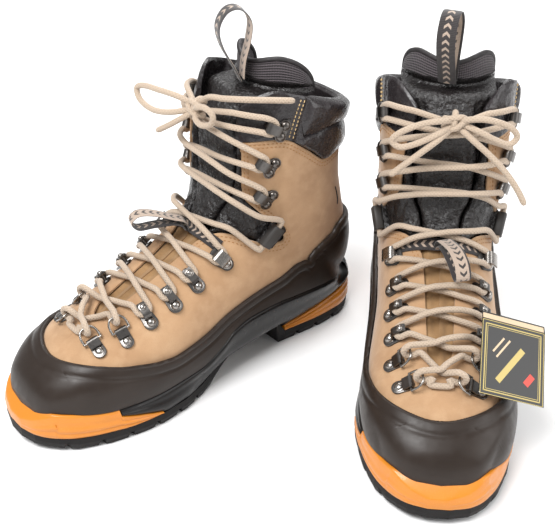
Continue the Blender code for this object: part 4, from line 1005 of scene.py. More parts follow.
def ear_arc(c, half=33.0, deep=34.0):
    """Plan of the tongue's rolled top: c runs from 0 in the middle to 1 at the side."""
    end = 1.35                              # radians the roll goes round on each side
    return (half * math.sin(c * end) / math.sin(end),
            56 + deep * (1 - math.cos(c * end)) / (1 - math.cos(end)))


def make_tongue(boot):
    """Leather face of the upper tongue: a crinkled middle lobe that widens to a sewn top edge."""
    rows = (0.585, 0.63, 0.68, 0.73, 0.78, 0.83, 0.88, 0.93, 0.966)
    patches = []
    for side in SIDES:
        columns_out, columns_in = [], []
        for c in steps(0.0, 1.0, 26):
            front, rear = [], []
            for s in rows:
                t = c * curve(TONGUE_WIDTH, s)
                x = min(t / 0.102, 1.0)
                bulge = 7.0 * math.sqrt(max(0.0, 1 - x ** 2.6)) if s < 0.95 else 1.5
                bulge *= 1 - 0.75 * ease((s - 0.87) / 0.08)
                front.append(over(s, side * t, -8.8 + bulge))
                rear.append(over(s, side * t, -11.6))
            x, y = ear_arc(c)
            for z, push in ((207.0, 0.0), (212.5, 0.4)):
                top = Vector((side * x, y - push, z - 5.0 * c * c))
                front.append(top)
                rear.append(top - Vector((side * x * 0.9, y - 96, 0)).normalized() * 3.0)
            fine_out, fine_in = smooth_path(front, 110), smooth_path(rear, 110)
            for k, (p, q) in enumerate(zip(fine_out, fine_in)):
                calm = ease(k / 6) * (0.12 + 0.88 * ease((74 - k) / 14))
                rise = crinkle(p, 1.3, 11) * calm - 0.45 * hump(k, 103, 1.6)
                fine_out[k] = p + (p - q).normalized() * rise
            columns_out.append(fine_out)
            columns_in.append(fine_in)
        patches.append((columns_out, columns_in))
    boot.piece("leather_tongue", thick(patches), "crinkle", "black_leather", rides="tongue",
               stands_for=("tongue_flap",))


def ear_height(c):
    """Height of the mesh's upper edge, rounded off towards the sides."""
    turn = max(0.0, c - 0.5) / 0.5
    return 212 - 4 * c * c + 15.0 * (0.72 + 0.36 * math.sin(min(c, 0.6) / 0.6 * math.pi / 2) ** 2) \
        - 21 * (1 - math.sqrt(max(0.0, 1 - turn * turn)))


def make_tongue_mesh(boot):
    """Ribbed mesh at the back of the tongue, standing up in two ears, with a bound edge."""
    across, up_it = steps(-1.0, 1.0, 60), steps(0.0, 1.0, 14)
    outer, inner, rim = [], [], []
    for c in across:
        x, y = ear_arc(abs(c), 32.0, 33.0)
        x = math.copysign(x, c)
        back = Vector((x * 0.9, y - 96, 0)).normalized()
        top = ear_height(abs(c))
        column_out, column_in = [], []
        for f in up_it:
            p = Vector((x, y + 3.4, 200 + (top - 200) * f))
            column_out.append(p + back * (1.2 * math.sin(math.pi * f)))
            column_in.append(p - back * 1.6)
        rim.append((column_out[-1] + column_in[-1]) / 2)
        outer.append(column_out)
        inner.append(column_in)
    body = thick([(outer, inner)], weld=0.02)
    lookup = [(c * 0.04, 0.03 * f) for c in across for f in up_it]
    uvs = [[lookup[v % len(lookup)] for v in face] for face in body[1]]
    boot.piece("tongue_mesh", body, "mesh", "black_leather", rides="tongue", uvs=uvs)
    binding, tube_uvs = tube(even(rim, 1.5), 1.75, 10)
    boot.piece("tongue_binding", binding, "binding", "black_leather", rides="tongue",
               uvs=tube_uvs)


# ---------------------------------------------------------------- sole pieces
SOLE_OUTLINE = {1: tuple((y, medial) for y, _, medial in SOLE_PLAN),
                -1: tuple((y, lateral) for y, lateral, _ in SOLE_PLAN)}
CUP_STATIONS = (-131.5, -127.6, -124, -121, -115, -110, -101, -92, -76, -61, -40, -22, -12, -4, 2,
                12, 25, 40, 52, 60, 70, 80, 96, 109, 118, 125.5, 132, 138.5)


def sole_edge(y, side):
    """Half width of the sole at y on one side."""
    return abs(curve(SOLE_OUTLINE[side], y))


def cup_tables():
    """How wide the upper is at the sole's rim, half way down and at its floor, for each side."""
    tables = {}
    for side in SIDES:
        rows = []
        for y in CUP_STATIONS:
            top, floor = table(WELT, y) - 0.1, table(FEATHER, y) - 0.45
            rows.append([plan_width(z, y, side) for z in (top, (top + floor) / 2, floor + 0.6)])
        tables[side] = [tuple((y, row[k]) for y, row in zip(CUP_STATIONS, rows)) for k in range(3)]
    return tables


CUP = cup_tables()


# Ribs and grooves of a sole's wall: height in mm, place from its foot (0) to its top (1), spread
TOE_RIBS = ((0.55, 0.16, 0.10), (-0.7, 0.36, 0.055), (0.35, 0.52, 0.1), (-0.45, 0.68, 0.045))
HEEL_RIBS = ((0.5, 0.2, 0.12), (-0.5, 0.42, 0.05), (0.3, 0.6, 0.1), (-0.4, 0.76, 0.05))
MIDSOLE_RIBS = ((0.35, 0.9, 0.08), (-0.4, 0.72, 0.06))


def wall_profile(points, ribs, fade=1.0):
    """Outer wall of a sole layer through (x, z) points, with shallow ribs along it."""
    count = 16
    line = smooth_path([(x, 0, z) for x, z in points], count)
    return [(p.x + sum(a * hump(k / count, b, c) for a, b, c in ribs) * fade, p.z)
            for k, p in enumerate(line)]


def sole_ring(y, wall):
    """Section of a sole layer at y; wall gives the (x, z) line of one side, from the foot up."""
    lateral, medial = [[(side * x, y, z) for x, z in wall(side)] for side in (-1, 1)]
    return lateral + medial[::-1]


def cup_ring(y, low, ribs, outer_in=1.2):
    """Section of a sole layer with a pocket for the upper, as in the CAD but rounder."""
    top, floor = curve(WELT, y) - 0.1, curve(FEATHER, y) - 0.45

    def wall(side):
        edge = sole_edge(y, side)
        wall_top, wall_mid, wall_low = (curve(t, y) for t in CUP[side])
        rim = max(wall_top + 4.0, edge * 0.55)
        rim += max(0.0, edge - 3.0 - rim) * toe_part(y)
        bulge = max(edge - 0.3, wall_low + 2.4)
        shoulder = max(min(low + 0.35 * (top - low), floor - 0.6), low + 0.8)
        outside = [(edge - outer_in, low), (bulge, shoulder), (rim + 0.5, top - 1.2)]
        return wall_profile(outside, ribs) + [
            (rim - 0.1, top - 0.3), (rim - 1.0, top), (wall_top + 0.45, top),
            (wall_mid + 0.6, (top + floor) / 2), (wall_low + 0.5, floor)]
    return sole_ring(y, wall)


def toe_wedge_top(y):
    """Height of the orange wedge that runs out under the ball."""
    return 21.0 - 11.0 * (y + 92) / 32


def make_toe_insert(boot):
    """Orange toe piece with a ledge, ribs along its wall and a wedge that runs out behind."""
    def front_wall(side):
        edge = sole_edge(y, side)
        rim = max(edge * 0.8, edge - 3.0)
        outside = [(edge - 1.0, low), (edge, low + 0.5 * (top - low)), (rim + 0.5, top - 1.2)]
        return wall_profile(outside, TOE_RIBS) + [
            (rim - 0.1, top - 0.3), (rim - 1.0 if rim > 3 else rim * 0.7, top),
            (rim * 0.6, top + 0.1), (rim * 0.4, top + 0.15), (rim * 0.1, top + 0.2)]

    def wedge_wall(side):
        edge = sole_edge(y, side)
        outside = [(edge - 1.0, low), (edge - 0.1, low + 0.45 * (top - low)),
                   (edge - 0.5, top - 0.2)]
        return wall_profile(outside, TOE_RIBS, ease((top - low) / 6)) + [
            (edge - 0.8, top), (edge * 0.85, top), (edge * 0.7, top + 0.01),
            (edge * 0.5, top + 0.02), (edge * 0.2, top + 0.03)]
    rings = []
    for y in [-145.9, -145.4, -144.6, -143.6] + steps(-142.5, -132.3, 12):
        low, top = curve(OUTSOLE_TOP, y) + GAP, ledge_top(y)
        rings.append(sole_ring(y, front_wall))
    for y in steps(-131.5, -92.4, 26):
        rings.append(cup_ring(y, curve(OUTSOLE_TOP, y) + GAP, TOE_RIBS))
    for y in steps(-92.0, -61.0, 22):
        low, top = curve(OUTSOLE_TOP, y) + GAP, toe_wedge_top(y)
        rings.append(sole_ring(y, wedge_wall))
    boot.piece("toe_piece", loft(rings), "orange", "orange_foam",
               stands_for=("toe_insert",))


def make_heel_insert(boot):
    """Orange wedge under the heel, with ribs along its wall."""
    def wall(side):
        edge = sole_edge(y, side)
        outside = [(edge - 0.7, low), (edge - 0.1, (low + top) / 2), (edge - 0.9, top - 0.5)]
        return wall_profile(outside, HEEL_RIBS, ease((top - low) / 7)) + [
            (edge - 1.6, top), (edge * 0.4, top)]
    rings = []
    for y in steps(66.0, 140.0, 34) + [142, 143.6, 145, 146.2, 147.3, 148.2, 148.9, 149.3]:
        low, top = curve(OUTSOLE_TOP, y) + GAP, curve(HEEL_WEDGE, y)
        rings.append(sole_ring(y, wall))
    boot.piece("heel_piece", loft(rings), "orange", "orange_foam",
               stands_for=("heel_insert",))


def make_midsole(boot):
    """Black midsole: slim at the ball, a tall flange at the waist, a cup at the heel."""
    def heel_wall(side):
        edge = sole_edge(y, side)
        low = curve(HEEL_WEDGE, y) + GAP
        outside = [(edge - 1.2, low), (edge - 0.3, low + 3.0), (edge * 0.88, top - 1.0)]
        return wall_profile(outside, MIDSOLE_RIBS) + [
            (edge * 0.84, top - 0.3), (edge * 0.78, top), (edge * 0.5, top), (edge * 0.3, top),
            (edge * 0.1, top)]
    rings = []
    for y in steps(-91.7, 138.5, 110):
        low = curve(OUTSOLE_TOP, y) + GAP
        low = max(low, toe_wedge_top(y) + GAP) if y < -50 else low
        low = max(low, curve(HEEL_WEDGE, y) + GAP) if y > 65 else low
        rings.append(cup_ring(y, low, MIDSOLE_RIBS, outer_in=1.5))
    top = table(WELT, 146) - 1.3
    for y in (139.2, 141, 143, 144.6, 145.9, 146.9, 147.6):
        rings.append(sole_ring(y, heel_wall))
    boot.piece("shank_midsole", loft(rings), "midsole", "black_rubber",
               stands_for=("midsole",))


def dress_outsole(boot):
    """The CAD's lugged outsole keeps its shape and gets worn edges and a rubber finish."""
    for node, finish in (("footbed", "felt"), ("outsole", "sole")):
        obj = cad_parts[f"{boot.name}_{node}"]
        obj.data.materials.clear()
        obj.data.materials.append(FINISHES[finish].material)
    add_bevel(obj, 0.5, 2, 38)


# ---------------------------------------------------------------- webbing
PULL_PATH = ((50.2, 212.5), (46, 222), (38, 238), (36, 251), (42, 261), (51, 262), (58, 253),
             (57, 240), (53.4, 226), (52.2, 214))
KEEPER_ROOT = over(0.548, 0.0, 0.9)
KEEPER_SHAPE = ((0, 0), (3.5, 7.5), (12, 13), (24, 19.5), (35, 21), (40.5, 15.5), (36, 10.2),
                (25, 10.5), (12, 8.7), (5.5, 5), (2.6, 0.4))


def webbing_piece(boot, part, path, wide, width, rides, stands_for, beige_up):
    """A strip whose one face is black with a beige motif and whose other face is the reverse."""
    body, uvs, n = strip(path, wide, width, WEB_THICKNESS)
    half = n // 2

    def is_beige(index):
        face_up = index % n < half
        inside = 0 < index % n % half < half - 1
        return index < n * (len(path) - 1) and face_up == beige_up and inside
    boot.piece(part, body, "webbing", "black_webbing", rides=rides, uvs=uvs,
               second=("webbing_back", is_beige), stands_for=stands_for)


def make_loops(boot, rise):
    """Pull loop, keeper loop and the band across the throat."""
    turn = 0.38 if boot.side > 0 else -0.3
    path = smooth_path([(3.0 + (y - 50) * math.sin(turn), 50 + (y - 50) * math.cos(turn), z)
                        for y, z in PULL_PATH], 70)
    webbing_piece(boot, "pull_webbing", path, Vector((math.cos(turn), -math.sin(turn), 0)), 12.5,
                  "pull_loop", ("pull_loop",), True)
    ahead = Vector((-0.34, -0.94, 0))
    points = [KEEPER_ROOT + ahead * u + Vector((0, 0, w + rise * (u / 40) ** 2 - 0.30 * u))
              for u, w in KEEPER_SHAPE]
    webbing_piece(boot, "keeper_webbing", smooth_path(points, 60), Vector((0.94, -0.34, 0)), 10.5,
                  "keeper_loop", ("keeper_loop",), True)
    band = [over(0.553, t, 0.7 - 1.6 * hump(t, 0, 0.06)) for t in steps(-0.3, 0.3, 40)]
    tilt = (skin(0.56, 0) - skin(0.54, 0)).normalized()
    webbing_piece(boot, "throat_webbing", band, tilt, 9.0, "boot", (), False)


# ---------------------------------------------------------------- hardware
class Seat:
    """Local frame on the last: u up the lacing, v towards the lace opening, w outwards."""

    def __init__(self, row, side):
        s, t = row[0], side * row[1]
        self.s, self.t = s, t
        self.point = skin(s, t)
        self.out = normal(s, t)
        inward = skin(s, t - math.copysign(0.03, t)) - skin(s, t + math.copysign(0.03, t))
        self.inward = (inward - self.out * inward.dot(self.out)).normalized()
        upward = skin(s + 0.03, t) - skin(s - 0.03, t)
        upward -= self.out * upward.dot(self.out) + self.inward * upward.dot(self.inward)
        self.upward = upward.normalized()

    def place(self, u, v):
        """The (s, t) of a point at u up the lacing and v towards the opening."""
        s_step = (skin(self.s + 0.01, self.t) - skin(self.s - 0.01, self.t)).length / 0.02
        t_step = (skin(self.s, self.t * 0.9) - skin(self.s, self.t)).length / abs(self.t * 0.1)
        return self.s + u / s_step, self.t - math.copysign(v / t_step, self.t)

    def at(self, u, v, w):
        return self.point + self.upward * u + self.inward * v + self.out * w

    def slab(self, outline, low, high, edge=0.35):
        """Plate with a rounded upper edge."""
        def shrunk(by):
            return [(u - math.copysign(min(by, abs(u)), u), v - math.copysign(min(by, abs(v)), v))
                    for u, v in outline]
        rings = [(outline, low), (outline, high - edge), (shrunk(edge * 0.35), high - edge * 0.3),
                 (shrunk(edge), high)]
        return loft([[self.at(u, v, w) for u, v in shape] for shape, w in rings])

    def turned(self, u, v, profile):
        """Round piece from a profile of (radius, height)."""
        return loft([[self.at(u + radius * a, v + radius * b, w) for a, b in circle(28)]
                     for radius, w in profile])

    def bent(self, line, thickness, u0, u1):
        """Strip of sheet metal that follows a line of (v, w) points, u0 to u1 wide."""
        points = [Vector((v, w)) for v, w in line]
        upper, lower = [], []
        for i, p in enumerate(points):
            ahead = (points[min(i + 1, len(points) - 1)] - points[max(i - 1, 0)]).normalized()
            side = Vector((-ahead.y, ahead.x)) * thickness / 2
            upper.append(tuple(p + side))
            lower.append(tuple(p - side))
        outline = upper + lower[::-1]
        return loft([[self.at(u, v, w) for v, w in outline] for u in (u0, u1)])


def pill(v0, r0, v1, r1, sides=18):
    """Outline around two circles on the v axis, as (u, v)."""
    first = [(r0 * math.cos(a), v0 + r0 * math.sin(a)) for a in steps(math.pi, 2 * math.pi, sides)]
    second = [(r1 * math.cos(a), v1 + r1 * math.sin(a)) for a in steps(0, math.pi, sides)]
    return first + second


def dome(radius, low, height):
    """Profile of a domed rivet head on a thin washer."""
    line = [(radius * 1.18, low), (radius * 1.18, low + 0.35), (radius, low + 0.45)]
    return line + [(radius * math.cos(a), low + 0.45 + (height - 0.45) * math.sin(a))
                   for a in steps(0.15, 1.5, 7)]


def side_name(side):
    return "medial" if side > 0 else "lateral"


def make_eyestay(boot, side):
    """Two ring plates and three ball eyelets of one side of the lower lacing."""
    plates, shiny = [], []
    for row in RING_ROWS:
        seat = Seat(row, side)
        plates.append(seat.slab(pill(-5.0, 4.6, 1.6, 4.3), 0.1, 1.25))
        bend = [(RING_BAR_V + 1.62 * math.cos(a), RING_BAR_W + 1.62 * math.sin(a))
                for a in steps(-1.7, 2.3, 14)]
        roll = [(-1.5, 1.45), (1.0, 1.45)] + bend + [(-1.0, 2.9), (-1.6, 2.5)]
        plates.append(seat.bent(roll, 0.95, -4.2, 4.2))
        shiny.append(seat.turned(0, -4.6, dome(2.9, 1.2, 2.0)))
    for row in ROLLER_ROWS:
        seat = Seat(row, side)
        plates.append(seat.slab(pill(-ROLLER_REACH, 5.3, ROLLER_REACH - 0.6, 4.3), 0.1, 1.5, 0.6))
        plates.append(seat.turned(0, ROLLER_REACH, [(1.6, 1.2), (1.6, 6.8)]))
        bridge = smooth_path([(-3.2, 1.5, 0), (-2.7, 4.6, 0), (-0.9, 6.7, 0), (2.5, 7.2, 0),
                              (6.0, 7.1, 0), (8.4, 6.2, 0)], 24)
        plates.append(seat.bent([(p.x, p.y) for p in bridge], 0.9, -2.9, 2.9))
        shiny.append(seat.turned(0, ROLLER_REACH - 1.0, dome(2.3, 7.4, 1.9)))
        shiny.append(seat.turned(0, -ROLLER_REACH, dome(3.3, 1.3, 3.3)))
    name = side_name(side)
    boot.piece(f"eyelet_plates_{name}", joined(plates), "gunmetal", "gunmetal", sharp=38,
               stands_for=(f"eyestay_{name}",))
    boot.piece(f"eyelet_balls_{name}", joined(shiny), "nickel", "gunmetal")


def make_ring(boot, side, row):
    """D-shaped wire ring that swivels in the roll of its plate."""
    seat = Seat(RING_ROWS[row], side)
    outline = [(-5.4, 0), (5.4, 0), (6.2, 1.2), (6.2, 4.6), (5.2, 7.6), (2.8, 9.7), (-2.8, 9.7),
               (-5.2, 7.6), (-6.2, 4.6), (-6.2, 1.2)]
    cos, sin = math.cos(RING_TILT), math.sin(RING_TILT)
    points = [seat.at(u, RING_BAR_V + q * cos, RING_BAR_W + q * sin) for u, q in outline]
    n = len(points)
    fine = smooth_path(points + points[:3], (n + 2) * 8)[8:8 + n * 8]
    name = f"{side_name(side)}_{row + 1}"
    boot.piece(f"wire_ring_{name}", ring_tube(fine, 0.8), "nickel", "gunmetal",
               rides=f"ring_{name}", stands_for=(f"ring_{name}",))


def hook_line(low):
    """Side view of a speed hook: flat foot, round bend, tip back over the lace."""
    bend = [(3.9 + 2.95 * math.cos(a), low + 3.3 + 2.95 * math.sin(a))
            for a in steps(-math.pi / 2, math.pi / 2, 16)]
    tip = [(1.2, low + 6.4), (-2.4, low + 6.1), (-3.2, low + 5.6)]
    return [(-2.2, low + 0.35), (1.2, low + 0.35)] + bend + tip


def make_hook(boot, part, seat, low, stands_for):
    """Speed hook with two rivets one above the other on the heel side."""
    foot = [(-7.0, -8.6), (-4.6, -9.6), (4.6, -9.6), (7.0, -8.6), (7.8, -6.2), (6.8, -3.4),
            (3.8, -1.0), (3.4, 3.0), (-3.4, 3.0), (-3.8, -1.0), (-6.8, -3.4), (-7.8, -6.2)]
    dark = [seat.slab(foot, low - 0.5, low + 0.7), seat.bent(hook_line(low + 0.3), 1.0, -3.5, 3.5)]
    rivets = [seat.turned(u, -6.2, dome(3.4, low + 0.6, 3.0)) for u in (4.1, -4.1)]
    boot.piece(part, joined(dark), "gunmetal", "gunmetal", sharp=38, bevel=0.22,
               stands_for=stands_for)
    boot.piece(part + "_rivets", joined(rivets), "rivet", "gunmetal")


def make_lock_hook(boot, side):
    """Locking hook: bent metal with a bright rivet on a drop-shaped rubber base."""
    seat = Seat(LOCK_ROW, side)
    base = pill(-5.5, 4.6, 2.6, 6.9, 20)
    name = side_name(side)
    boot.piece(f"lock_base_{name}", seat.slab(base, 0.1, 1.9, 0.8), "sleeve", "gunmetal",
               stands_for=(f"lock_hook_{name}",))
    metal_parts = [seat.slab(pill(-5.0, 3.7, 1.5, 4.6), 1.7, 2.7),
                   seat.bent([(v, w + 1.0) for v, w in hook_line(1.2)], 1.1, -4.6, 4.6)]
    boot.piece(f"lock_metal_{name}", joined(metal_parts), "nickel", "gunmetal", sharp=38,
               bevel=0.25)
    rivet = seat.turned(0, -4.6, dome(2.9, 2.6, 2.2))
    boot.piece(f"lock_rivet_{name}", rivet, "nickel", "gunmetal")


def make_strap_loop(boot, side):
    """Rubbery sleeve for the lace in the ankle cut-out, on a leather patch."""
    seat = Seat(LOOP_ROW, side)
    name = side_name(side)

    def squarish(u, half_v, half_w, power):
        """Rounded square section at u."""
        return [seat.at(u, half_v * math.copysign(abs(a) ** power, a),
                        3.9 + half_w * math.copysign(abs(b) ** power, b)) for a, b in circle(40)]
    rings = [squarish(u, 4.7 + grow, 3.5 + grow, 0.5)
             for u, grow in ((-8.6, -0.35), (-8.2, 0.0), (8.2, 0.0), (8.6, -0.35))]
    rings += [squarish(u, 2.7, 2.5, 0.6) for u in (8.6, -8.6)]
    boot.piece(f"lace_sleeve_{name}", loft(rings, closed=True), "sleeve", "black_rubber",
               stands_for=(f"strap_loop_{name}",))
    patch = [(-9.5, 3.5), (9.5, 3.5), (9.8, -8.0), (8.0, -10.5), (-8.0, -10.5), (-9.8, -8.0)]
    boot.piece(f"sleeve_patch_{name}", seat.slab(patch, -3.2, 0.9, 0.6), "crinkle",
               "black_leather")


def make_hardware(boot):
    """Everything the lace runs through, on both sides."""
    for side in SIDES:
        name = side_name(side)
        make_eyestay(boot, side)
        for row in (0, 1):
            make_ring(boot, side, row)
        make_lock_hook(boot, side)
        make_strap_loop(boot, side)
        for number, row in enumerate(HOOK_ROWS):
            make_hook(boot, f"tab_hook_{name}_{number + 1}", Seat(row, side), 0.5,
                      (f"hooks_{name}",) if number == 0 else ())
        make_hook(boot, f"flap_hook_{name}", Seat(TOP_ROW, side), 1.0, (f"top_hook_{name}",))


# ---------------------------------------------------------------- laces
def leg(near, far, lift):
    """Lace between two fittings: follows the surface and rises where it crosses the other one."""
    s0, t0, w0 = near
    s1, t1, w1 = far
    points = []
    for f in (0.22, 0.4, 0.5, 0.6, 0.78):
        bump = math.exp(-((f - 0.5) / min(0.4, 0.022 / abs(s1 - s0))) ** 4)
        height = w0 + (w1 - w0) * f
        height += (2.9 + lift - height) * bump
        points.append(over(s0 + (s1 - s0) * f, t0 + (t1 - t0) * f, max(height, 2.9)))
    return points


STOPS = (("hook", TOP_ROW, 4.2),) + tuple(("hook", row, 3.9) for row in reversed(HOOK_ROWS)) \
    + (("loop", LOOP_ROW, 4.1), ("hook", LOCK_ROW, 4.1)) \
    + tuple(("roller", row, 4.1) for row in reversed(ROLLER_ROWS)) \
    + tuple(("ring", row, 4.5) for row in reversed(RING_ROWS))


def fitting_route(kind, w):
    """Lace route through one fitting, from its upper to its lower side, as (u, v, w)."""
    if kind in ("hook", "roller"):
        v0 = HOOK_V if kind == "hook" else ROLLER_REACH
        turn = ((5.0, 4.5), (4.3, -2.9), (0, -5.4), (-4.3, -2.9), (-5.0, 4.5))
        return [(u, v0 + v, w) for u, v in turn]
    if kind == "loop":
        return [(13, 4.5, 4.3), (10, 0.6, 4.0), (-10, 0.6, 4.0), (-13, 4.5, 4.3)]
    wire = 9.8
    q, up = wire * math.cos(RING_TILT) + RING_BAR_V, wire * math.sin(RING_TILT) + RING_BAR_W
    turn = ((4.2, 2.2), (0.9, 3.9), (-2.9, 2.7), (-4.0, -0.8), (-1.8, -3.4), (1.8, -3.7),
            (5.6, -3.4))
    return [(1.8 - 0.6 * i, q + v, up + w) for i, (v, w) in enumerate(turn)]


def lace_half(start_side):
    """Route of one half of the lace from the knot down to the toe, changing sides each row."""
    route, ends = [], []
    side = start_side
    for kind, row, height in STOPS:
        seat = Seat(row, side)
        here = fitting_route(kind, height)
        entry, leave = (seat.place(u, v) + (w,) for u, v, w in (here[0], here[-1]))
        ends.append((entry, [seat.at(*p) for p in here], leave))
        side = -side
    for number, (entry, points, leave) in enumerate(ends):
        if number == 0:
            route += leg((0.922, math.copysign(0.07, entry[1]), 8.5), entry, 3.5)
        route += points
        if number < len(ends) - 1:
            lift = 0.0 if (start_side > 0) == (number % 2 == 0) else 6.0
            route += leg(leave, ends[number + 1][0], lift)
    return route


RIGHT_BOW = {
    "loop_lateral": [(-3, 19, 199), (-14, 11, 205), (-30, 6, 206), (-44, 4, 205), (-52, 3, 201),
                     (-47, 2, 194), (-33, 3, 191), (-18, 8, 193), (-3, 19, 198)],
    "loop_medial": [(-3, 20, 198), (5, 12, 203), (14, 12, 206), (20, 14, 202), (18, 14, 195),
                    (10, 12, 192), (2, 13, 194), (-3, 19, 198)],
    "end_medial": [(-3, 19, 200), (8, 20, 209), (20, 24, 211), (33, 33, 212), (43, 47, 211),
                   (49, 60, 209)],
    "end_lateral": [(-3, 19, 197), (-12, 9, 189), (-20, 5, 183), (-29, 2, 177)],
}
LEFT_BOW = {
    "loop_medial": [(-3, 19, 199), (7, 12, 202), (20, 10, 200), (33, 9, 194), (38, 9, 188),
                    (32, 8, 184), (20, 8, 188), (8, 10, 194), (-3, 19, 198)],
    "loop_lateral": [(-3, 20, 198), (-12, 12, 204), (-24, 12, 204), (-37, 14, 199), (-43, 15, 192),
                     (-38, 13, 187), (-28, 11, 191), (-18, 11, 196), (-3, 19, 199)],
    "end_medial": [(-3, 19, 197), (8, 9, 190), (20, 5, 181), (30, 3, 173), (38, 2, 166)],
    "end_lateral": [(-3, 19, 197), (-14, 9, 191), (-25, 5, 183), (-36, 2, 173), (-45, -1, 162),
                    (-51, -4, 152)],
}


def lace_piece(boot, part, route, stands_for=()):
    """A length of the round cord along its own route."""
    path = even(smooth_path(route, len(route) * 10), 1.3)
    body, uvs = tube(path, LACE_RADIUS, 12)
    obj = boot.piece(part, body, "cord", "beige_cord", uvs=uvs, stands_for=stands_for)
    tuple(boot.world(path[0]))
    [tuple(boot.world(p)) for p in path]


def make_knot(boot):
    """The bow's knot: a middle wrap and two turns of cord pulled tight around it."""
    wrap = [KNOT + Vector((1.2 * math.sin(a * 0.5), 5.0 * math.cos(a), 5.4 * math.sin(a)))
            for a in steps(0, 2 * math.pi * 0.96, 26)]
    low = [KNOT + Vector(p) for p in ((-9, -3, 3), (-5, -5.5, 1.5), (0, -6.2, -2.5),
                                      (4.5, -4.5, -4), (9, -1.5, -3))]
    high = [KNOT + Vector(p) for p in ((9, -3, 3.4), (5, -4.6, 3.4), (-1, -4.8, 4.6),
                                       (-5, -2.2, 3.2), (-8.5, 0.5, -1.0))]
    core = [KNOT + Vector((x, 0, 0)) for x in (-4.5, 0, 4.5)]
    bodies, uvs = [], []
    for path, radius in ((wrap, 2.15), (smooth_path(low, 20), 2.0), (smooth_path(high, 20), 2.0),
                         (smooth_path(core, 8), 3.4)):
        body, its_uvs = tube(even(path, 1.1), radius, 12)
        bodies.append(body)
        uvs += its_uvs
    boot.piece("bow_knot", joined(bodies), "cord", "beige_cord", uvs=uvs, stands_for=("bow",))


def make_laces(boot, bow):
    """Knot, the lace from the knot round the toe and back, and the bow's loops and ends."""
    down, up = lace_half(1), lace_half(-1)
    bar = [over(RING_ROWS[0][0] - 0.010, t, 3.2) for t in (0.07, -0.07)]
    if down[-1].x < 0:
        bar.reverse()
    route = [KNOT + Vector((8.2, 2.0, -1.0))] + down + bar + up[::-1] \
        + [KNOT + Vector((-8.2, 2.0, -1.0))]
    make_knot(boot)
    lace_piece(boot, "lace_run", route, ("lace",))
    for part, points in bow.items():
        lace_piece(boot, f"bow_{part}", points)


# ---------------------------------------------------------------- stitches
def mirrored(line, side):
    return [(s, side * t) for s, t in line]


def make_stitches(boot):
    """Double rows along the suede's edges and the collar's seam, and the quarter's label."""
    tan, beige = [], []
    front = [(s, t) for s, t in FRONT_LINE if s > 0.5]
    for side in SIDES:
        for distance in STITCH_ROWS:
            tan.append(stitch_row(mirrored(beside(front, -distance), side), -0.1))
            top = [p for p in beside(TOP_LINE, -distance) if p[1] > 0.165]
            tan.append(stitch_row(mirrored(top, side), -0.1))
        for t in (FLAP_SEAM - 0.016, FLAP_SEAM - 0.034):
            seam = [(s, side * t) for s in steps(curve(TAN_TOP, t) + 0.006, 0.992, 20)]
            beige.append(stitch_row(seam, 0.75, 2.9, 2.1, 0.4))
    boot.piece("leather_stitches", joined(tan), "thread_tan", "beige_cord")
    boot.piece("collar_stitches", joined(beige), "thread_beige", "beige_cord")
    label = [over(0.845 - 0.04 * f, 0.655 + 0.01 * math.sin(math.pi * f), 0.15)
             for f in steps(0, 1, 16)]
    boot.piece("quarter_label", tube(even(label, 1.2), 0.6, 8)[0], "thread_black", "black_leather")


def make_tongue_seam(boot):
    """Black thread along the tongue's top edge."""
    row, ups = [], []
    for c in steps(-0.96, 0.96, 80):
        x, y = ear_arc(abs(c))
        p = Vector((math.copysign(x, c), y, 205.6 - 5.0 * c * c))
        up = Vector((p.x * 0.9, p.y - 96, 0)).normalized()
        row.append(p + up * 0.2)
        ups.append(up)
    boot.piece("tongue_stitches", stitches_along(row, ups, 3.0, 2.0, 0.4), "thread_black",
               "black_leather", rides="tongue")


# ---------------------------------------------------------------- hang tag
TAG_SIZE = (47.0, 50.0, 4.6)
TAG_CORNER = Vector((-24.0, -57.5, 96.0))


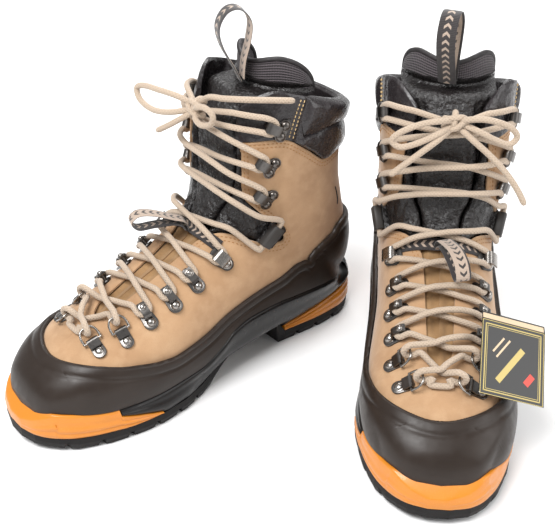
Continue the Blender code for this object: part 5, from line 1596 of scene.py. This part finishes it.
def make_hang_tag(boot):
    """Folded booklet: black card covers, gold border lines, plain marks and beige pages."""
    width, height, thickness = TAG_SIZE
    card, ink = 0.6, 0.05
    right = Vector((-0.915, 0.20, -0.36)).normalized()
    down = Vector((-0.08, -0.80, -0.60))
    down = (down - right * down.dot(right)).normalized()
    out = right.cross(down).normalized()
    out = out if out.z > 0 else -out

    def plate(outline, low, high):
        """Sheet between two heights; the booklet's back lies a little up and to the right."""
        rings = []
        for w in (low, high):
            slip = (right * 0.5 - down * 1.5) * (thickness - min(w, thickness))
            rings.append([TAG_CORNER + slip + right * a + down * b + out * w for a, b in outline])
        return loft(rings)

    def block(a0, a1, b0, b1, low, high):
        return plate([(a0, b0), (a1, b0), (a1, b1), (a0, b1)], low, high)

    def border(inset, wide):
        a0, a1, b0, b1 = inset, width - inset - 0.5, inset, height - inset
        return [block(*edges, thickness, thickness + ink)
                for edges in ((a0, a1, b0, b0 + wide), (a0, a1, b1 - wide, b1),
                              (a0, a0 + wide, b0, b1), (a1 - wide, a1, b0, b1))]

    def slanted(a, b, long, wide, turn):
        cos, sin = math.cos(turn), math.sin(turn)
        corners = [(-long / 2, -wide / 2), (long / 2, -wide / 2), (long / 2, wide / 2),
                   (-long / 2, wide / 2)]
        return plate([(a + x * cos - y * sin, b + x * sin + y * cos) for x, y in corners],
                     thickness, thickness + ink)
    covers = [block(0, width, 0, height, 0, card),
              block(0, width, 0, height, thickness - card, thickness),
              block(width - card, width, 0, height, card / 2, thickness - card / 2)]
    boot.piece("tag_covers", joined(covers), "card", "black_card", rides="hang_tag",
               sharp=30, bevel=0.15, stands_for=("hang_tag",))
    pages = [block(0.5, width - 0.9, 0.35, height - 0.6, 0.65 + 0.66 * k, 1.17 + 0.66 * k)
             for k in range(5)]
    boot.piece("tag_pages", joined(pages), "page", "black_card", rides="hang_tag", sharp=30)
    lines = border(0.25, 0.4) + border(2.4, 0.75) + border(3.9, 0.35)
    lines.append(slanted(21.5, 27.5, 30, 4.2, -0.93))
    boot.piece("tag_gold", joined(lines), "gold", "black_card", rides="hang_tag", sharp=30)
    pale = [slanted(12.5, 15.5, 13, 1.3, -0.93), slanted(16.0, 17.5, 16, 1.3, -0.93)]
    boot.piece("tag_pale_bars", joined(pale), "page", "black_card", rides="hang_tag", sharp=30)
    boot.piece("tag_red_patch", slanted(35.5, 34.5, 8.5, 4.4, -0.93), "red_print", "black_card",
               rides="hang_tag", sharp=30)


# ---------------------------------------------------------------- camera, light and floor
def add_area(name, place, aim, size, size_y, power):
    light = bpy.data.lights.new(name, "AREA")
    light.shape = "RECTANGLE"
    light.size, light.size_y = size, size_y
    light.energy = power
    obj = add_object(name, light)
    obj.location = place
    obj.rotation_euler = (Vector(aim) - Vector(place)).to_track_quat("-Z", "Y").to_euler()


def make_studio():
    """Camera, soft light from three sides and a plain pale floor."""
    camera = bpy.data.cameras.new("camera")
    camera.lens = CAMERA_LENS
    camera.clip_start, camera.clip_end = 0.01, 20
    obj = add_object("camera", camera)
    obj.location = CAMERA_PLACE
    obj.rotation_euler = (math.pi / 2 - CAMERA_TILT, 0, 0)
    bpy.context.scene.camera = obj
    add_area("key", (-0.45, -0.55, 1.25), (0, 0, 0.08), 0.8, 0.6, 24)
    add_area("fill", (1.1, -0.35, 0.7), (0, 0, 0.08), 0.9, 0.9, 8)
    add_area("back", (0.2, 0.9, 1.1), (0, 0, 0.15), 0.9, 0.6, 12)
    world = bpy.data.worlds.new("studio")
    world.use_nodes = True
    background = world.node_tree.nodes["Background"]
    background.inputs["Color"].default_value = (1, 1, 1, 1)
    background.inputs["Strength"].default_value = 0.46
    bpy.context.scene.world = world
    data = bpy.data.meshes.new("floor")
    data.from_pydata([(-6, -6, 0), (6, -6, 0), (6, 6, 0), (-6, 6, 0)], [], [(0, 1, 2, 3)])
    data.materials.append(Finish("pale_floor", (0.9, 0.9, 0.9), 0.9).material)
    floor = add_object("floor", data)
    floor.location.z = -0.0005
    bpy.context.scene.view_settings.view_transform = "Standard"


# ---------------------------------------------------------------- assembly
FINISHES = make_finishes()


def make_boot(boot, bow, rise):
    """All of one boot; rise is how far its keeper loop stands up."""
    for make in (dress_outsole, make_toe_insert, make_heel_insert, make_midsole, make_rand,
                 make_upper, make_lining, make_collar, make_tongue_lower, make_tongue,
                 make_tongue_mesh, make_tongue_seam):
        make(boot)
    make_loops(boot, rise)
    make_stitches(boot)
    make_hardware(boot)
    make_laces(boot, bow)


make_boot(Boot("right", 1, RIGHT_PLACE), RIGHT_BOW, 9)
left = Boot("left", -1, LEFT_PLACE)
make_boot(left, LEFT_BOW, -4)
make_hang_tag(left)
make_studio()
